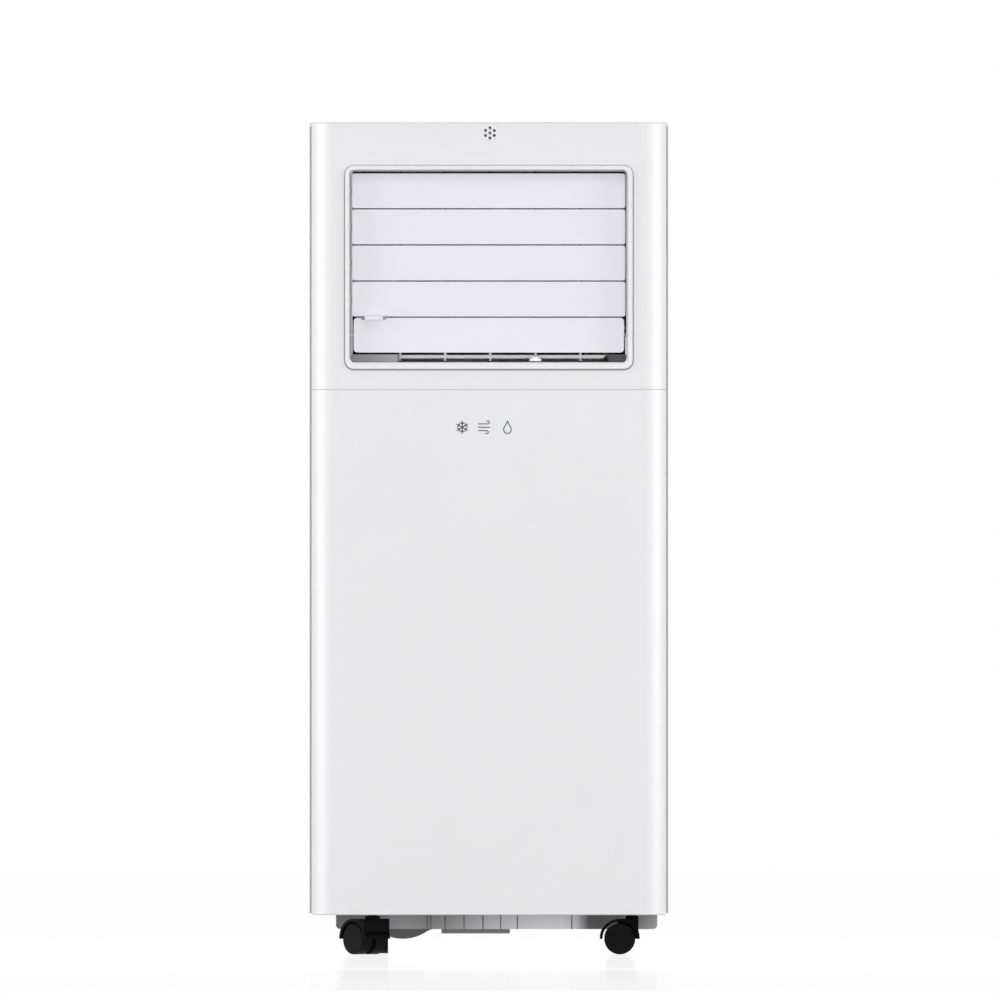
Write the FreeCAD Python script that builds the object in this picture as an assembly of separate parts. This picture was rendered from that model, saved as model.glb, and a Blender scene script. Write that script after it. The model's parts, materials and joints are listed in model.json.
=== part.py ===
import FreeCAD, Part
import math
import os

from FreeCAD import Vector

# A slim portable air conditioner on four twin-wheel casters. Millimetres, +Z up, the front faces -Y.
# The origin is on the floor under the middle of the object's box.

# ---- the whole object ----
HEIGHT = 703.0
HALF_WIDTH = 151.5
HALF_DEPTH = 161.0
WALL = 2.5

# ---- casing ----
CASING_BOTTOM = 33.3
FRONT_HALF_WIDTH = 149.8
FRONT_FACE = -159.0
FRONT_FLANK_END = -127.0
FRONT_CORNER = 24.0
SEAM_Z = 477.4
SEAM_GAP = 0.25
PANEL_GAP = 0.4
BACK_FACE = 151.0
BACK_CORNER = 20.0
BACK_FLANK_START = 131.0
SIDE_BOTTOM = 35.0
SIDE_TOP = 699.6
LID_TOP = 702.2
SIDE_INNER = HALF_WIDTH - WALL
BACK_INNER = BACK_FACE - WALL
LID_THICKNESS = LID_TOP - SIDE_TOP
FRONT_INNER = FRONT_FACE + WALL

# ---- hand grips in the sides ----
GRIP_LOW = 560.0
GRIP_HIGH = 598.0
GRIP_HALF_LENGTH = 55.0
GRIP_DEPTH = 22.0

# ---- sound holes above the louvre ----
HOLE_ROSE_X = 0.9
HOLE_ROSE_Z = 694.2
HOLE_ROSE_RADIUS = 4.2
HOLE_RADIUS = 1.3
HOLES_IN_ROSE = 6

# ---- louvre frame and air duct ----
FRAME_HALF_WIDTH = 121.4
FRAME_LOW = 494.7
FRAME_HIGH = 666.5
FRAME_CORNER = 7.5
GROOVE_WIDTH = 1.2
GROOVE_DEPTH = 0.9
MOUTH_LEFT = -116.9
MOUTH_RIGHT = 116.2
MOUTH_LOW = 500.4
MOUTH_HIGH = 661.7
MOUTH_CORNER = 3.0
FRAME_WALL = 1.8
FRAME_GAP = 0.4
MOUTH_BEVEL = 1.8
DUCT_HALF_WIDTH = 117.5
DUCT_LOW = 500.0
DUCT_HIGH = 664.0
DUCT_WALL = 2.0
DUCT_FRONT = -154.8
DUCT_BACK = -85.0
SILL_BACK = -144.0
SILL_TOP = 507.0
LEFT_SILL_END = -75.9
RIGHT_SILL_START = 101.0

# ---- louvre blades, which turn about X ----
BLADES = 5
BLADE_PITCH = 30.5
TOP_BLADE_Z = 645.3
BLADE_HEIGHT = 29.6
BLADE_HALF_WIDTH = 115.6
LAST_BLADE_HALF_WIDTH = 114.4
BLADE_CORNER = 2.2
LAST_BLADE_CORNER = 3.5
BLADE_FRONT = -152.0
BLADE_THICKNESS = 2.0
BLADE_PIVOT_Y = -147.0
BLADE_PIN_RADIUS = 1.5
PIN_FIT = 0.1
CRANK_LENGTH = 9.0
CRANK_ANGLE = 42.5
CRANK_PIN_RADIUS = 1.2
LUG_THICKNESS = 2.0
LINK_HALF_WIDTH = 2.5
LINK_INNER_X = 115.9
LINK_THICKNESS = 1.0

# ---- upright vanes, which turn about Z ----
VANES = 5
VANE_PITCH = 38.1
MIDDLE_VANE_X = 1.2
VANE_HALF_THICKNESS = 0.75
VANE_PIVOT_Y = -118.0
VANE_FRONT = -128.0
VANE_CRANK_Y = -138.0
VANE_FOOT_FRONT = -142.4
VANE_FOOT_THICKNESS = 1.4
VANE_BACK = -96.0
VANE_LOW = 507.2
VANE_HIGH = 660.0
VANE_BAR_LOW = 503.6
VANE_BAR_HIGH = 506.5
VANE_FOOT_LOW = 501.4
KNOB_VANE = 3

# ---- controls on the lid ----
CONTROL_Y = -90.0
CONTROL_HALF_WIDTH = 62.0
CONTROL_HALF_DEPTH = 28.0
CONTROL_BOTTOM = 700.4
BUTTON_X = {"power": -48.0, "mode": -28.0, "speed": 28.0}
BUTTON_RADIUS = 6.0
BUTTON_TOP = 702.8
ROCKER_X = 48.0
ROCKER_HALF_WIDTH = 5.0
ROCKER_HALF_DEPTH = 12.0
ROCKER_PIVOT_Z = 698.9

# ---- back openings ----
FILTER_HALF_WIDTH = 116.0
FILTER_LOW = 440.0
FILTER_HIGH = 668.0
PORT_Z = 325.0
PORT_RADIUS = 65.0
PORT_WALL = 3.0
PORT_STEP = 127.0
PORT_INNER_END = 122.0
GRILLE_HALF_WIDTH = 112.0
GRILLE_LOW = 66.0
GRILLE_HIGH = 226.0
GLAND_X = 112.0
GLAND_Z = 262.0
DRAIN_X = -112.0
UPPER_DRAIN_Z = 426.0
LOWER_DRAIN_Z = 51.0
SPOUT_RADIUS = 8.8
SPOUT_BORE = 6.0
SCREW_X = 126.0
SCREW_LEVELS = (48.0, 240.0, 434.0, 688.0)
SCREW_RADIUS = 1.9

# ---- base ----
PAN_LEFT = -129.2
PAN_RIGHT = 142.3
PAN_FRONT = -85.0
PAN_BACK = 82.0
PAN_BOTTOM = 21.2
PAN_RIM = 52.0
PAN_WALL = 3.0
FLANGE_LOW = 38.0
FLANGE_HIGH = 41.0
SUMP_X = -72.6
SUMP_BOTTOM = 12.6
SUMP_RADIUS = 36.0
SUMP_FLARE = 17.2
SPLASH_Z = 60.1
SUMP_FRONT = 38.0
SUMP_BACK = 66.0

# ---- casters: stem place and the direction in which the wheels trail, in degrees from +X ----
CASTERS = {
    "front_left": (-98.3, -122.0, 130.0),
    "front_right": (121.0, -122.0, 180.0),
    "rear_left": (-98.3, 114.0, 90.0),
    "rear_right": (121.0, 114.0, 180.0),
}
WHEEL_RADIUS = 13.1
WHEEL_INNER = 2.2
WHEEL_OUTER = 13.2
HOOD_RADIUS = 16.9
HOOD_WALL = 2.3
HOOD_HALF_WIDTH = 14.0
CASTER_TRAIL = 10.4
STEM_RADIUS = 5.4
TYRE_EDGE = 0.7
STEM_PIN_RADIUS = 4.0
STEM_SHOULDER = 32.6

# ---- refrigeration and fans ----
TRAY_LOW = 412.0
TRAY_HIGH = 416.0
UPPER_FAN_Z = 530.0
UPPER_FAN_RADIUS = 84.0
LOWER_FAN_Y = -35.0
LOWER_FAN_RADIUS = 74.0
FAN_SHAFT_RADIUS = 4.0
SHAFT_FIT = 0.08
COMPRESSOR_X = 45.0
COMPRESSOR_Y = -25.0
COMPRESSOR_RADIUS = 50.0
SUCTION_X = 134.0
PIPE_RADIUS = 4.5

ALL_ROUND = 360.0


def box(x0, x1, y0, y1, z0, z1):
    """A block between two values on each axis."""
    return Part.makeBox(x1 - x0, y1 - y0, z1 - z0, Vector(x0, y0, z0))


def rod(radius, start, end):
    """A round bar from one point to another."""
    axis = Vector(*end) - Vector(*start)
    return Part.makeCylinder(radius, axis.Length, Vector(*start), axis)


def ring(outer, inner, start, end):
    """A round tube from one point to another."""
    return rod(outer, start, end).cut(rod(inner, start, end))


def joined(*shapes):
    """One solid made of several that touch or overlap."""
    return shapes[0].multiFuse(list(shapes[1:])).removeSplitter()


def mirrored(shape):
    """The same shape on the other side of the object."""
    return shape.mirror(Vector(0, 0, 0), Vector(1, 0, 0))


def rounded_block(plane, u0, u1, v0, v1, w0, w1, radius):
    """A block whose outline in a plane (xy, xz or yz) has round corners, from w0 to w1 across that plane."""
    place = {
        "xy": lambda u, v, w: Vector(u, v, w),
        "xz": lambda u, v, w: Vector(u, w, v),
        "yz": lambda u, v, w: Vector(w, u, v),
    }[plane]
    corners = (
        (u1 - radius, v1 - radius, 0),
        (u0 + radius, v1 - radius, 90),
        (u0 + radius, v0 + radius, 180),
        (u1 - radius, v0 + radius, 270),
    )
    arcs = []
    for centre_u, centre_v, turn in corners:
        angles = [math.radians(turn + step) for step in (0, 45, 90)]
        arcs.append([
            place(centre_u + radius * math.cos(a), centre_v + radius * math.sin(a), w0) for a in angles
        ])
    edges = []
    for arc, following in zip(arcs, arcs[1:] + arcs[:1]):
        edges.append(Part.Arc(*arc).toShape())
        edges.append(Part.makeLine(arc[2], following[0]))
    return Part.Face(Part.Wire(edges)).extrude(place(0, 0, w1) - place(0, 0, w0))


def softened(shape, radius, axis, level):
    """The shape with the edges that lie at one level of an axis (0, 1 or 2) rounded."""
    edges = [e for e in shape.Edges if all(abs(v.Point[axis] - level) < 1e-4 for v in e.Vertexes)]
    return shape.makeFillet(radius, edges)


def blade_level(index):
    """Height of a louvre blade's pivot, counted from the top."""
    return TOP_BLADE_Z - index * BLADE_PITCH


def vane_place(index):
    """X of an upright vane's pivot, counted from the left."""
    return MIDDLE_VANE_X + (index - VANES // 2) * VANE_PITCH


# ---------------------------------------------------------------- casing


def front_skin(low, high, soft_level, soft_radius):
    """A front panel: a flat face with round upright corners and short flanks."""
    back = FRONT_FACE + 4 * FRONT_CORNER
    outer = rounded_block(
        "xy", -FRONT_HALF_WIDTH, FRONT_HALF_WIDTH, FRONT_FACE, back, low, high, FRONT_CORNER
    )
    outer = softened(outer, soft_radius, 2, soft_level)
    inner_half = FRONT_HALF_WIDTH - WALL
    inner = rounded_block(
        "xy", -inner_half, inner_half, FRONT_INNER, back + WALL, low - 1, high + 1, FRONT_CORNER - WALL
    )
    behind = box(-HALF_WIDTH, HALF_WIDTH, FRONT_FLANK_END, back + 1, low - 1, high + 1)
    return outer.cut(inner).cut(behind)


def front_lower_panel():
    """The tall plain panel under the seam."""
    return front_skin(CASING_BOTTOM, SEAM_Z - SEAM_GAP / 2, CASING_BOTTOM, 1.0)


def frame_groove():
    """A shallow groove in the front panel all round the louvre frame."""
    blocks = []
    for grow in (GROOVE_WIDTH, -GROOVE_WIDTH):
        blocks.append(rounded_block(
            "xz", -FRAME_HALF_WIDTH - grow, FRAME_HALF_WIDTH + grow, FRAME_LOW - grow, FRAME_HIGH + grow,
            FRONT_FACE - 1, FRONT_FACE + GROOVE_DEPTH, FRAME_CORNER + grow,
        ))
    outer, inner = blocks
    return outer.cut(inner)


def mouth_block(grow, front, back, corner):
    """A block through the mouth of the louvre, larger than the mouth by the same amount all round."""
    return rounded_block(
        "xz", MOUTH_LEFT - grow, MOUTH_RIGHT + grow, MOUTH_LOW - grow, MOUTH_HIGH + grow, front, back, corner
    )


def front_upper_panel():
    """The panel round the louvre, with the sound holes and a lap strip behind the seam."""
    panel = front_skin(SEAM_Z + SEAM_GAP / 2, HEIGHT, HEIGHT, 1.5)
    strip = box(-125, 125, FRONT_INNER, FRONT_INNER + 1.6, SEAM_Z - 7, SEAM_Z + 8)
    panel = joined(panel, strip)
    opening = mouth_block(FRAME_WALL + FRAME_GAP, FRONT_FACE - 1, FRONT_INNER + 5, MOUTH_CORNER + FRAME_WALL)
    places = [(HOLE_ROSE_X, HOLE_ROSE_Z)]
    for step in range(HOLES_IN_ROSE):
        angle = math.radians(90 + step * ALL_ROUND / HOLES_IN_ROSE)
        across, up = HOLE_ROSE_RADIUS * math.cos(angle), HOLE_ROSE_RADIUS * math.sin(angle)
        places.append((HOLE_ROSE_X + across, HOLE_ROSE_Z + up))
    holes = [rod(HOLE_RADIUS, (x, FRONT_FACE - 1, z), (x, FRONT_INNER + 1, z)) for x, z in places]
    return panel.cut([opening, frame_groove()] + holes)


def side_panel_right():
    """A flat side with a hand grip let into it and lips behind the front and back panels."""
    front = FRONT_FLANK_END + PANEL_GAP
    back = BACK_FLANK_START - PANEL_GAP
    plate = box(SIDE_INNER, HALF_WIDTH, front, back, SIDE_BOTTOM, SIDE_TOP)
    lip_outer = FRONT_HALF_WIDTH - WALL - 0.2
    front_lip = box(lip_outer - 2, lip_outer, front - 8, front + 4, SIDE_BOTTOM + 8, SIDE_TOP - 14)
    front_step = box(lip_outer - 2, SIDE_INNER + 0.5, front, front + 4, SIDE_BOTTOM + 8, SIDE_TOP - 14)
    back_lip = box(SIDE_INNER - 5, SIDE_INNER - 3, back - 4, back + 8, SIDE_BOTTOM + 8, SIDE_TOP - 14)
    back_step = box(SIDE_INNER - 5, SIDE_INNER + 0.5, back - 4, back, SIDE_BOTTOM + 8, SIDE_TOP - 14)
    corner = 8.0
    cup_floor = HALF_WIDTH - GRIP_DEPTH
    cup = rounded_block(
        "yz", -GRIP_HALF_LENGTH - 2, GRIP_HALF_LENGTH + 2, GRIP_LOW - 2, GRIP_HIGH + 2,
        cup_floor - 2, SIDE_INNER + 1, corner + 2,
    )
    hollow = rounded_block(
        "yz", -GRIP_HALF_LENGTH, GRIP_HALF_LENGTH, GRIP_LOW, GRIP_HIGH, cup_floor, HALF_WIDTH + 1, corner
    )
    return joined(plate, front_lip, front_step, back_lip, back_step, cup).cut(hollow)


def back_skin():
    """The plain back: a flat face with round upright corners and short flanks."""
    front = BACK_FACE - 4 * BACK_CORNER
    outer = rounded_block(
        "xy", -HALF_WIDTH, HALF_WIDTH, front, BACK_FACE, SIDE_BOTTOM, SIDE_TOP, BACK_CORNER
    )
    inner = rounded_block(
        "xy", -SIDE_INNER, SIDE_INNER, front - WALL, BACK_INNER,
        SIDE_BOTTOM - 1, SIDE_TOP + 1, BACK_CORNER - WALL,
    )
    ahead = box(-HALF_WIDTH - 1, HALF_WIDTH + 1, front - 1, BACK_FLANK_START, SIDE_BOTTOM - 1, SIDE_TOP + 1)
    return outer.cut(inner).cut(ahead)


def screw_places():
    """Where the back panel's screws are."""
    return [(side * SCREW_X, level) for level in SCREW_LEVELS for side in (-1, 1)]


def back_panel():
    """The back, with holes for the filter door, the exhaust port, the lower grille, drains and cord."""
    before = BACK_INNER - 1
    behind = BACK_FACE + 1
    windows = [
        (FILTER_HALF_WIDTH, FILTER_LOW, FILTER_HIGH),
        (GRILLE_HALF_WIDTH, GRILLE_LOW, GRILLE_HIGH),
    ]
    holes = [
        rounded_block("xz", -half_width, half_width, low, high, before, behind, 4)
        for half_width, low, high in windows
    ]
    holes += [
        rod(PORT_RADIUS + PORT_WALL + 0.3, (0, before, PORT_Z), (0, behind, PORT_Z)),
        rod(8.2, (GLAND_X, before, GLAND_Z), (GLAND_X, behind, GLAND_Z)),
    ]
    for level in (UPPER_DRAIN_Z, LOWER_DRAIN_Z):
        holes.append(rod(SPOUT_RADIUS + 0.3, (DRAIN_X, before, level), (DRAIN_X, behind, level)))
    for x, z in screw_places():
        holes.append(rod(SCREW_RADIUS + 0.2, (x, before, z), (x, behind, z)))
    return back_skin().cut(holes)


def top_cover():
    """The lid: it lies on the side and back panels and fits inside the front panel."""
    front_half = FRONT_HALF_WIDTH - WALL - 0.3
    front = FRONT_INNER + 0.3
    wide = rounded_block(
        "xy", -HALF_WIDTH, HALF_WIDTH, FRONT_FLANK_END - 2 * BACK_CORNER, BACK_FACE,
        SIDE_TOP, LID_TOP, BACK_CORNER,
    )
    wide = softened(wide, 1.0, 2, LID_TOP)
    wide = wide.cut(box(
        -HALF_WIDTH - 1, HALF_WIDTH + 1, FRONT_FACE - 2 * BACK_CORNER, FRONT_FLANK_END + PANEL_GAP,
        SIDE_TOP - 1, LID_TOP + 1,
    ))
    narrow = rounded_block(
        "xy", -front_half, front_half, front, FRONT_FLANK_END + 3 * BACK_CORNER,
        SIDE_TOP, LID_TOP, FRONT_CORNER - WALL - 0.3,
    )
    skirt_outer = rounded_block("xy", -142, 142, -148, 138, SIDE_TOP - 11, SIDE_TOP + LID_THICKNESS / 2, 14)
    skirt_inner = rounded_block("xy", -140, 140, -146, 136, SIDE_TOP - 12, SIDE_TOP, 12)
    lid = joined(wide, narrow, skirt_outer.cut(skirt_inner))
    margin = 0.3
    seat = rounded_block(
        "xy", -CONTROL_HALF_WIDTH - margin, CONTROL_HALF_WIDTH + margin,
        CONTROL_Y - CONTROL_HALF_DEPTH - margin, CONTROL_Y + CONTROL_HALF_DEPTH + margin,
        CONTROL_BOTTOM, LID_TOP + 1, 6,
    )
    window = box(
        4 - CONTROL_HALF_WIDTH, CONTROL_HALF_WIDTH - 4,
        CONTROL_Y - CONTROL_HALF_DEPTH + 4, CONTROL_Y + CONTROL_HALF_DEPTH - 4,
        SIDE_TOP - 2, LID_TOP + 1,
    )
    return lid.cut([seat, window])


# ---------------------------------------------------------------- controls


def control_plate():
    """The glossy plate in the lid, with holes for the buttons, the rocker and the display."""
    plate = rounded_block(
        "xy", -CONTROL_HALF_WIDTH, CONTROL_HALF_WIDTH,
        CONTROL_Y - CONTROL_HALF_DEPTH, CONTROL_Y + CONTROL_HALF_DEPTH, CONTROL_BOTTOM, LID_TOP, 6,
    )
    posts = []
    for x in (-53, 53):
        for y in (CONTROL_Y - 20, CONTROL_Y + 20):
            posts.append(rod(2.4, (x, y, 691.6), (x, y, CONTROL_BOTTOM + 0.5)))
    saddles = []
    for x in (ROCKER_X - ROCKER_HALF_WIDTH - 3.4, ROCKER_X + ROCKER_HALF_WIDTH + 1.0):
        saddles.append(box(x, x + 2.4, CONTROL_Y - 3, CONTROL_Y + 3, 697.2, CONTROL_BOTTOM + 0.5))
    plate = joined(plate, *posts, *saddles)
    holes = [box(-15.8, 15.8, CONTROL_Y - 9.8, CONTROL_Y + 9.8, CONTROL_BOTTOM - 1, LID_TOP + 1)]
    below, above = CONTROL_BOTTOM - 1, LID_TOP + 1
    for x in BUTTON_X.values():
        holes.append(rod(BUTTON_RADIUS + 0.15, (x, CONTROL_Y, below), (x, CONTROL_Y, above)))
    holes.append(box(
        ROCKER_X - ROCKER_HALF_WIDTH - 0.3, ROCKER_X + ROCKER_HALF_WIDTH + 0.3,
        CONTROL_Y - ROCKER_HALF_DEPTH - 0.5, CONTROL_Y + ROCKER_HALF_DEPTH + 0.5,
        CONTROL_BOTTOM - 0.001, LID_TOP + 1,
    ))
    reach = ROCKER_HALF_WIDTH + 5
    holes.append(rod(
        1.08, (ROCKER_X - reach, CONTROL_Y, ROCKER_PIVOT_Z), (ROCKER_X + reach, CONTROL_Y, ROCKER_PIVOT_Z)
    ))
    return plate.cut(holes)


def push_button(x):
    """A round button with a retaining flange under the plate."""
    cap = rod(BUTTON_RADIUS, (x, CONTROL_Y, 697.2), (x, CONTROL_Y, BUTTON_TOP))
    cap = softened(cap, 0.5, 2, BUTTON_TOP)
    flange = rod(BUTTON_RADIUS + 1.2, (x, CONTROL_Y, 698.0), (x, CONTROL_Y, CONTROL_BOTTOM - 0.6))
    return joined(cap, flange)


def temperature_rocker():
    """A two-way key on a cross pin."""
    key = rounded_block(
        "xy", ROCKER_X - ROCKER_HALF_WIDTH, ROCKER_X + ROCKER_HALF_WIDTH,
        CONTROL_Y - ROCKER_HALF_DEPTH, CONTROL_Y + ROCKER_HALF_DEPTH, 699.4, BUTTON_TOP, 3,
    )
    key = softened(key, 0.5, 2, BUTTON_TOP)
    web = box(
        ROCKER_X - ROCKER_HALF_WIDTH + 0.5, ROCKER_X + ROCKER_HALF_WIDTH - 0.5,
        CONTROL_Y - 2, CONTROL_Y + 2, 697.9, 700,
    )
    pin_start = ROCKER_X - ROCKER_HALF_WIDTH - 3.2
    pin_end = ROCKER_X + ROCKER_HALF_WIDTH + 3.2
    pin = rod(1.0, (pin_start, CONTROL_Y, ROCKER_PIVOT_Z), (pin_end, CONTROL_Y, ROCKER_PIVOT_Z))
    return joined(key, web, pin)


def display_window():
    """The clear window under the plate's cut-out."""
    return box(-18, 18, CONTROL_Y - 12, CONTROL_Y + 12, CONTROL_BOTTOM - 1.2, CONTROL_BOTTOM)


def control_board():
    """The circuit board with a switch under each button and a lamp block under the display."""
    board = box(-56, 56, CONTROL_Y - 23, CONTROL_Y + 23, 690.0, 691.6)
    parts = [board, box(-14, 14, CONTROL_Y - 8, CONTROL_Y + 8, 691.0, 697.5)]
    for x in BUTTON_X.values():
        parts.append(box(x - 3, x + 3, CONTROL_Y - 3, CONTROL_Y + 3, 691.0, 695.6))
    for y in (CONTROL_Y - 8, CONTROL_Y + 8):
        parts.append(box(ROCKER_X - 3, ROCKER_X + 3, y - 3, y + 3, 691.0, 695.6))
    return joined(*parts)


# ---------------------------------------------------------------- louvre


def louvre_frame():
    """The raised rounded frame round the mouth."""
    rim = rounded_block(
        "xz", -FRAME_HALF_WIDTH, FRAME_HALF_WIDTH, FRAME_LOW, FRAME_HIGH,
        -HALF_DEPTH, FRONT_FACE, FRAME_CORNER,
    )
    rim = softened(rim, 0.6, 1, -HALF_DEPTH)
    sleeve = mouth_block(FRAME_WALL, FRONT_FACE - 1, DUCT_FRONT - 0.2, MOUTH_CORNER + FRAME_WALL)
    mouth = mouth_block(0, -HALF_DEPTH, DUCT_FRONT + 1, MOUTH_CORNER)
    frame = joined(rim, sleeve).cut(mouth)
    near = 0.01
    lip = [
        edge for edge in frame.Edges
        if all(
            abs(corner.Y + HALF_DEPTH) < near
            and MOUTH_LEFT - near < corner.X < MOUTH_RIGHT + near
            and MOUTH_LOW - near < corner.Z < MOUTH_HIGH + near
            for corner in edge.Vertexes
        )
    ]
    return frame.makeChamfer(MOUTH_BEVEL, lip)


def duct_sills():
    """The two shaded steps in the bottom corners of the duct, the left one with a round screw boss."""
    floor = DUCT_LOW - DUCT_WALL / 2
    left = box(-DUCT_HALF_WIDTH - DUCT_WALL / 2, LEFT_SILL_END, DUCT_FRONT + 1, SILL_BACK, floor, SILL_TOP)
    right = box(RIGHT_SILL_START, DUCT_HALF_WIDTH + DUCT_WALL / 2, DUCT_FRONT + 1, SILL_BACK, floor, SILL_TOP)
    boss = rod(2.3, (-100, DUCT_FRONT + 0.2, SILL_TOP - 2.0), (-100, SILL_BACK, SILL_TOP - 2.0))
    return [left, right, boss]


def outlet_duct():
    """The square duct that carries the blades and vanes."""
    outer = box(
        -DUCT_HALF_WIDTH - DUCT_WALL, DUCT_HALF_WIDTH + DUCT_WALL, DUCT_FRONT, DUCT_BACK,
        DUCT_LOW - DUCT_WALL, DUCT_HIGH + DUCT_WALL,
    )
    inner = box(-DUCT_HALF_WIDTH, DUCT_HALF_WIDTH, DUCT_FRONT - 1, DUCT_BACK + 1, DUCT_LOW, DUCT_HIGH)
    holes = []
    for index in range(BLADES):
        y, z = BLADE_PIVOT_Y, blade_level(index)
        holes.append(rod(BLADE_PIN_RADIUS + PIN_FIT, (-HALF_WIDTH, y, z), (HALF_WIDTH, y, z)))
    for index in range(VANES):
        x, y = vane_place(index), VANE_PIVOT_Y
        holes.append(rod(CRANK_PIN_RADIUS + PIN_FIT, (x, y, DUCT_LOW - 5), (x, y, DUCT_HIGH + 5)))
    return joined(outer.cut(inner), *duct_sills()).cut(holes)


def crank_offset():
    """How far behind and above its pivot a blade's crank pin stands."""
    angle = math.radians(CRANK_ANGLE)
    return CRANK_LENGTH * math.cos(angle), CRANK_LENGTH * math.sin(angle)


def strap(x0, x1, start, end, half_width):
    """A flat bar with round ends in the YZ plane, from x0 to x1."""
    (y0, z0), (y1, z1) = start, end
    length = math.hypot(y1 - y0, z1 - z0)
    bar = box(x0, x1, y0, y0 + length, z0 - half_width, z0 + half_width)
    bar.rotate(Vector(x0, y0, z0), Vector(1, 0, 0), math.degrees(math.atan2(z1 - z0, y1 - y0)))
    ends = [rod(half_width, (x0, y, z), (x1, y, z)) for y, z in (start, end)]
    return joined(bar, *ends)


def louvre_blade(index):
    """A blade with an ear at each end, pivot pins, and a crank pin on the right."""
    level = blade_level(index)
    half = BLADE_HEIGHT / 2
    is_last = index == BLADES - 1
    half_width = LAST_BLADE_HALF_WIDTH if is_last else BLADE_HALF_WIDTH
    corner = LAST_BLADE_CORNER if is_last else BLADE_CORNER
    plate = rounded_block(
        "xz", -half_width, half_width, level - half, level + half,
        BLADE_FRONT, BLADE_FRONT + BLADE_THICKNESS, corner,
    )
    plate = softened(plate, 0.4, 1, BLADE_FRONT)
    back, up = crank_offset()
    crank = (BLADE_PIVOT_Y + back, level + up)
    pivot = (BLADE_PIVOT_Y, level)
    root = (BLADE_FRONT + BLADE_THICKNESS - 0.2, level)
    ear = half_width - LUG_THICKNESS
    pin_end = DUCT_HALF_WIDTH + DUCT_WALL - 0.2
    ahead = box(-HALF_WIDTH, HALF_WIDTH, -HALF_DEPTH, BLADE_FRONT + 1, level - half, level + half)
    parts = [
        plate,
        strap(ear, half_width, root, pivot, 2.6).cut(ahead),
        strap(ear, half_width, pivot, crank, 2.2),
        strap(-half_width, -ear, root, pivot, 2.6).cut(ahead),
        rod(BLADE_PIN_RADIUS, (ear + 0.5, *pivot), (pin_end, *pivot)),
        rod(BLADE_PIN_RADIUS, (-ear - 0.5, *pivot), (-pin_end, *pivot)),
        rod(CRANK_PIN_RADIUS, (ear + 0.5, *crank), (LINK_INNER_X + LINK_THICKNESS, *crank)),
    ]
    return joined(*parts)


def finger_tab():
    """The lip under the fourth blade by which the louvre is set by hand."""
    edge = blade_level(3) - BLADE_HEIGHT / 2
    left, right, taper = -107.8, -86.7, 3.0
    front = BLADE_FRONT - 8.0
    back = BLADE_FRONT - 0.4
    outline = [(left, back), (right, back), (right - taper, front), (left + taper, front), (left, back)]
    face = Part.Face(Part.makePolygon([Vector(x, y, edge - 2.6) for x, y in outline]))
    shelf = face.extrude(Vector(0, 0, 2.9))
    root = box(left + 1, right - 1, BLADE_FRONT - 1, BLADE_FRONT + 1, edge + 0.1, edge + 0.9)
    return joined(shelf, root)


def blade_link():
    """The notched upright bar that ties the blades' cranks together."""
    back, up = crank_offset()
    centre = BLADE_PIVOT_Y + back
    x1 = LINK_INNER_X + LINK_THICKNESS
    low = blade_level(BLADES - 1) + up - 4
    high = blade_level(0) + up + 4
    bar = box(LINK_INNER_X, x1, centre - LINK_HALF_WIDTH, centre + LINK_HALF_WIDTH, low, high)
    cuts = []
    for index in range(BLADES):
        level = blade_level(index) + up
        start, end = (LINK_INNER_X - 1, centre, level), (x1 + 1, centre, level)
        cuts.append(rod(CRANK_PIN_RADIUS + PIN_FIT, start, end))
    notch_pitch = BLADE_PITCH / 5
    notches = 5 * (BLADES - 1)
    for step in range(notches):
        level = blade_level(BLADES - 1) + up + (step + 0.5) * notch_pitch
        cuts.append(box(
            LINK_INNER_X - 1, x1 + 1, centre - LINK_HALF_WIDTH - 1, centre - LINK_HALF_WIDTH + 0.9,
            level - 1, level + 1,
        ))
    return bar.cut(cuts)


def upright_vane(index):
    """A thin vane with pivot pins, and a foot that carries a crank pin and shows under the blades."""
    x = vane_place(index)
    left, right = x - VANE_HALF_THICKNESS, x + VANE_HALF_THICKNESS
    lowest = DUCT_LOW - DUCT_WALL + 0.2
    highest = DUCT_HIGH + DUCT_WALL - 0.2
    parts = [
        box(left, right, VANE_FRONT, VANE_BACK, VANE_LOW, VANE_HIGH),
        box(left, right, VANE_FOOT_FRONT, VANE_FRONT + 1, VANE_LOW, VANE_LOW + 2.3),
        box(left, right, VANE_FOOT_FRONT, VANE_FOOT_FRONT + VANE_FOOT_THICKNESS, VANE_FOOT_LOW, VANE_LOW + 1),
        rod(CRANK_PIN_RADIUS, (x, VANE_PIVOT_Y, lowest), (x, VANE_PIVOT_Y, VANE_LOW + 3)),
        rod(CRANK_PIN_RADIUS, (x, VANE_PIVOT_Y, VANE_HIGH - 3), (x, VANE_PIVOT_Y, highest)),
        rod(CRANK_PIN_RADIUS, (x, VANE_CRANK_Y, VANE_BAR_LOW - 0.6), (x, VANE_CRANK_Y, VANE_LOW + 1)),
    ]
    return joined(*parts)


def vane_knob():
    """The finger disc on a stem that reaches forward from one vane's foot."""
    x = vane_place(KNOB_VANE)
    root_y = VANE_FOOT_FRONT + 0.5
    disc_y = -153.5
    outline = [(x - 1.2, root_y), (x + 1.2, root_y), (x + 3, disc_y), (x - 3, disc_y), (x - 1.2, root_y)]
    stem_face = Part.Face(Part.makePolygon([Vector(u, v, VANE_FOOT_LOW) for u, v in outline]))
    stem = stem_face.extrude(Vector(0, 0, 3.4))
    disc = rod(5.0, (x, disc_y, VANE_FOOT_LOW), (x, disc_y, VANE_FOOT_LOW + 2.0))
    return joined(stem, disc)


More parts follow.
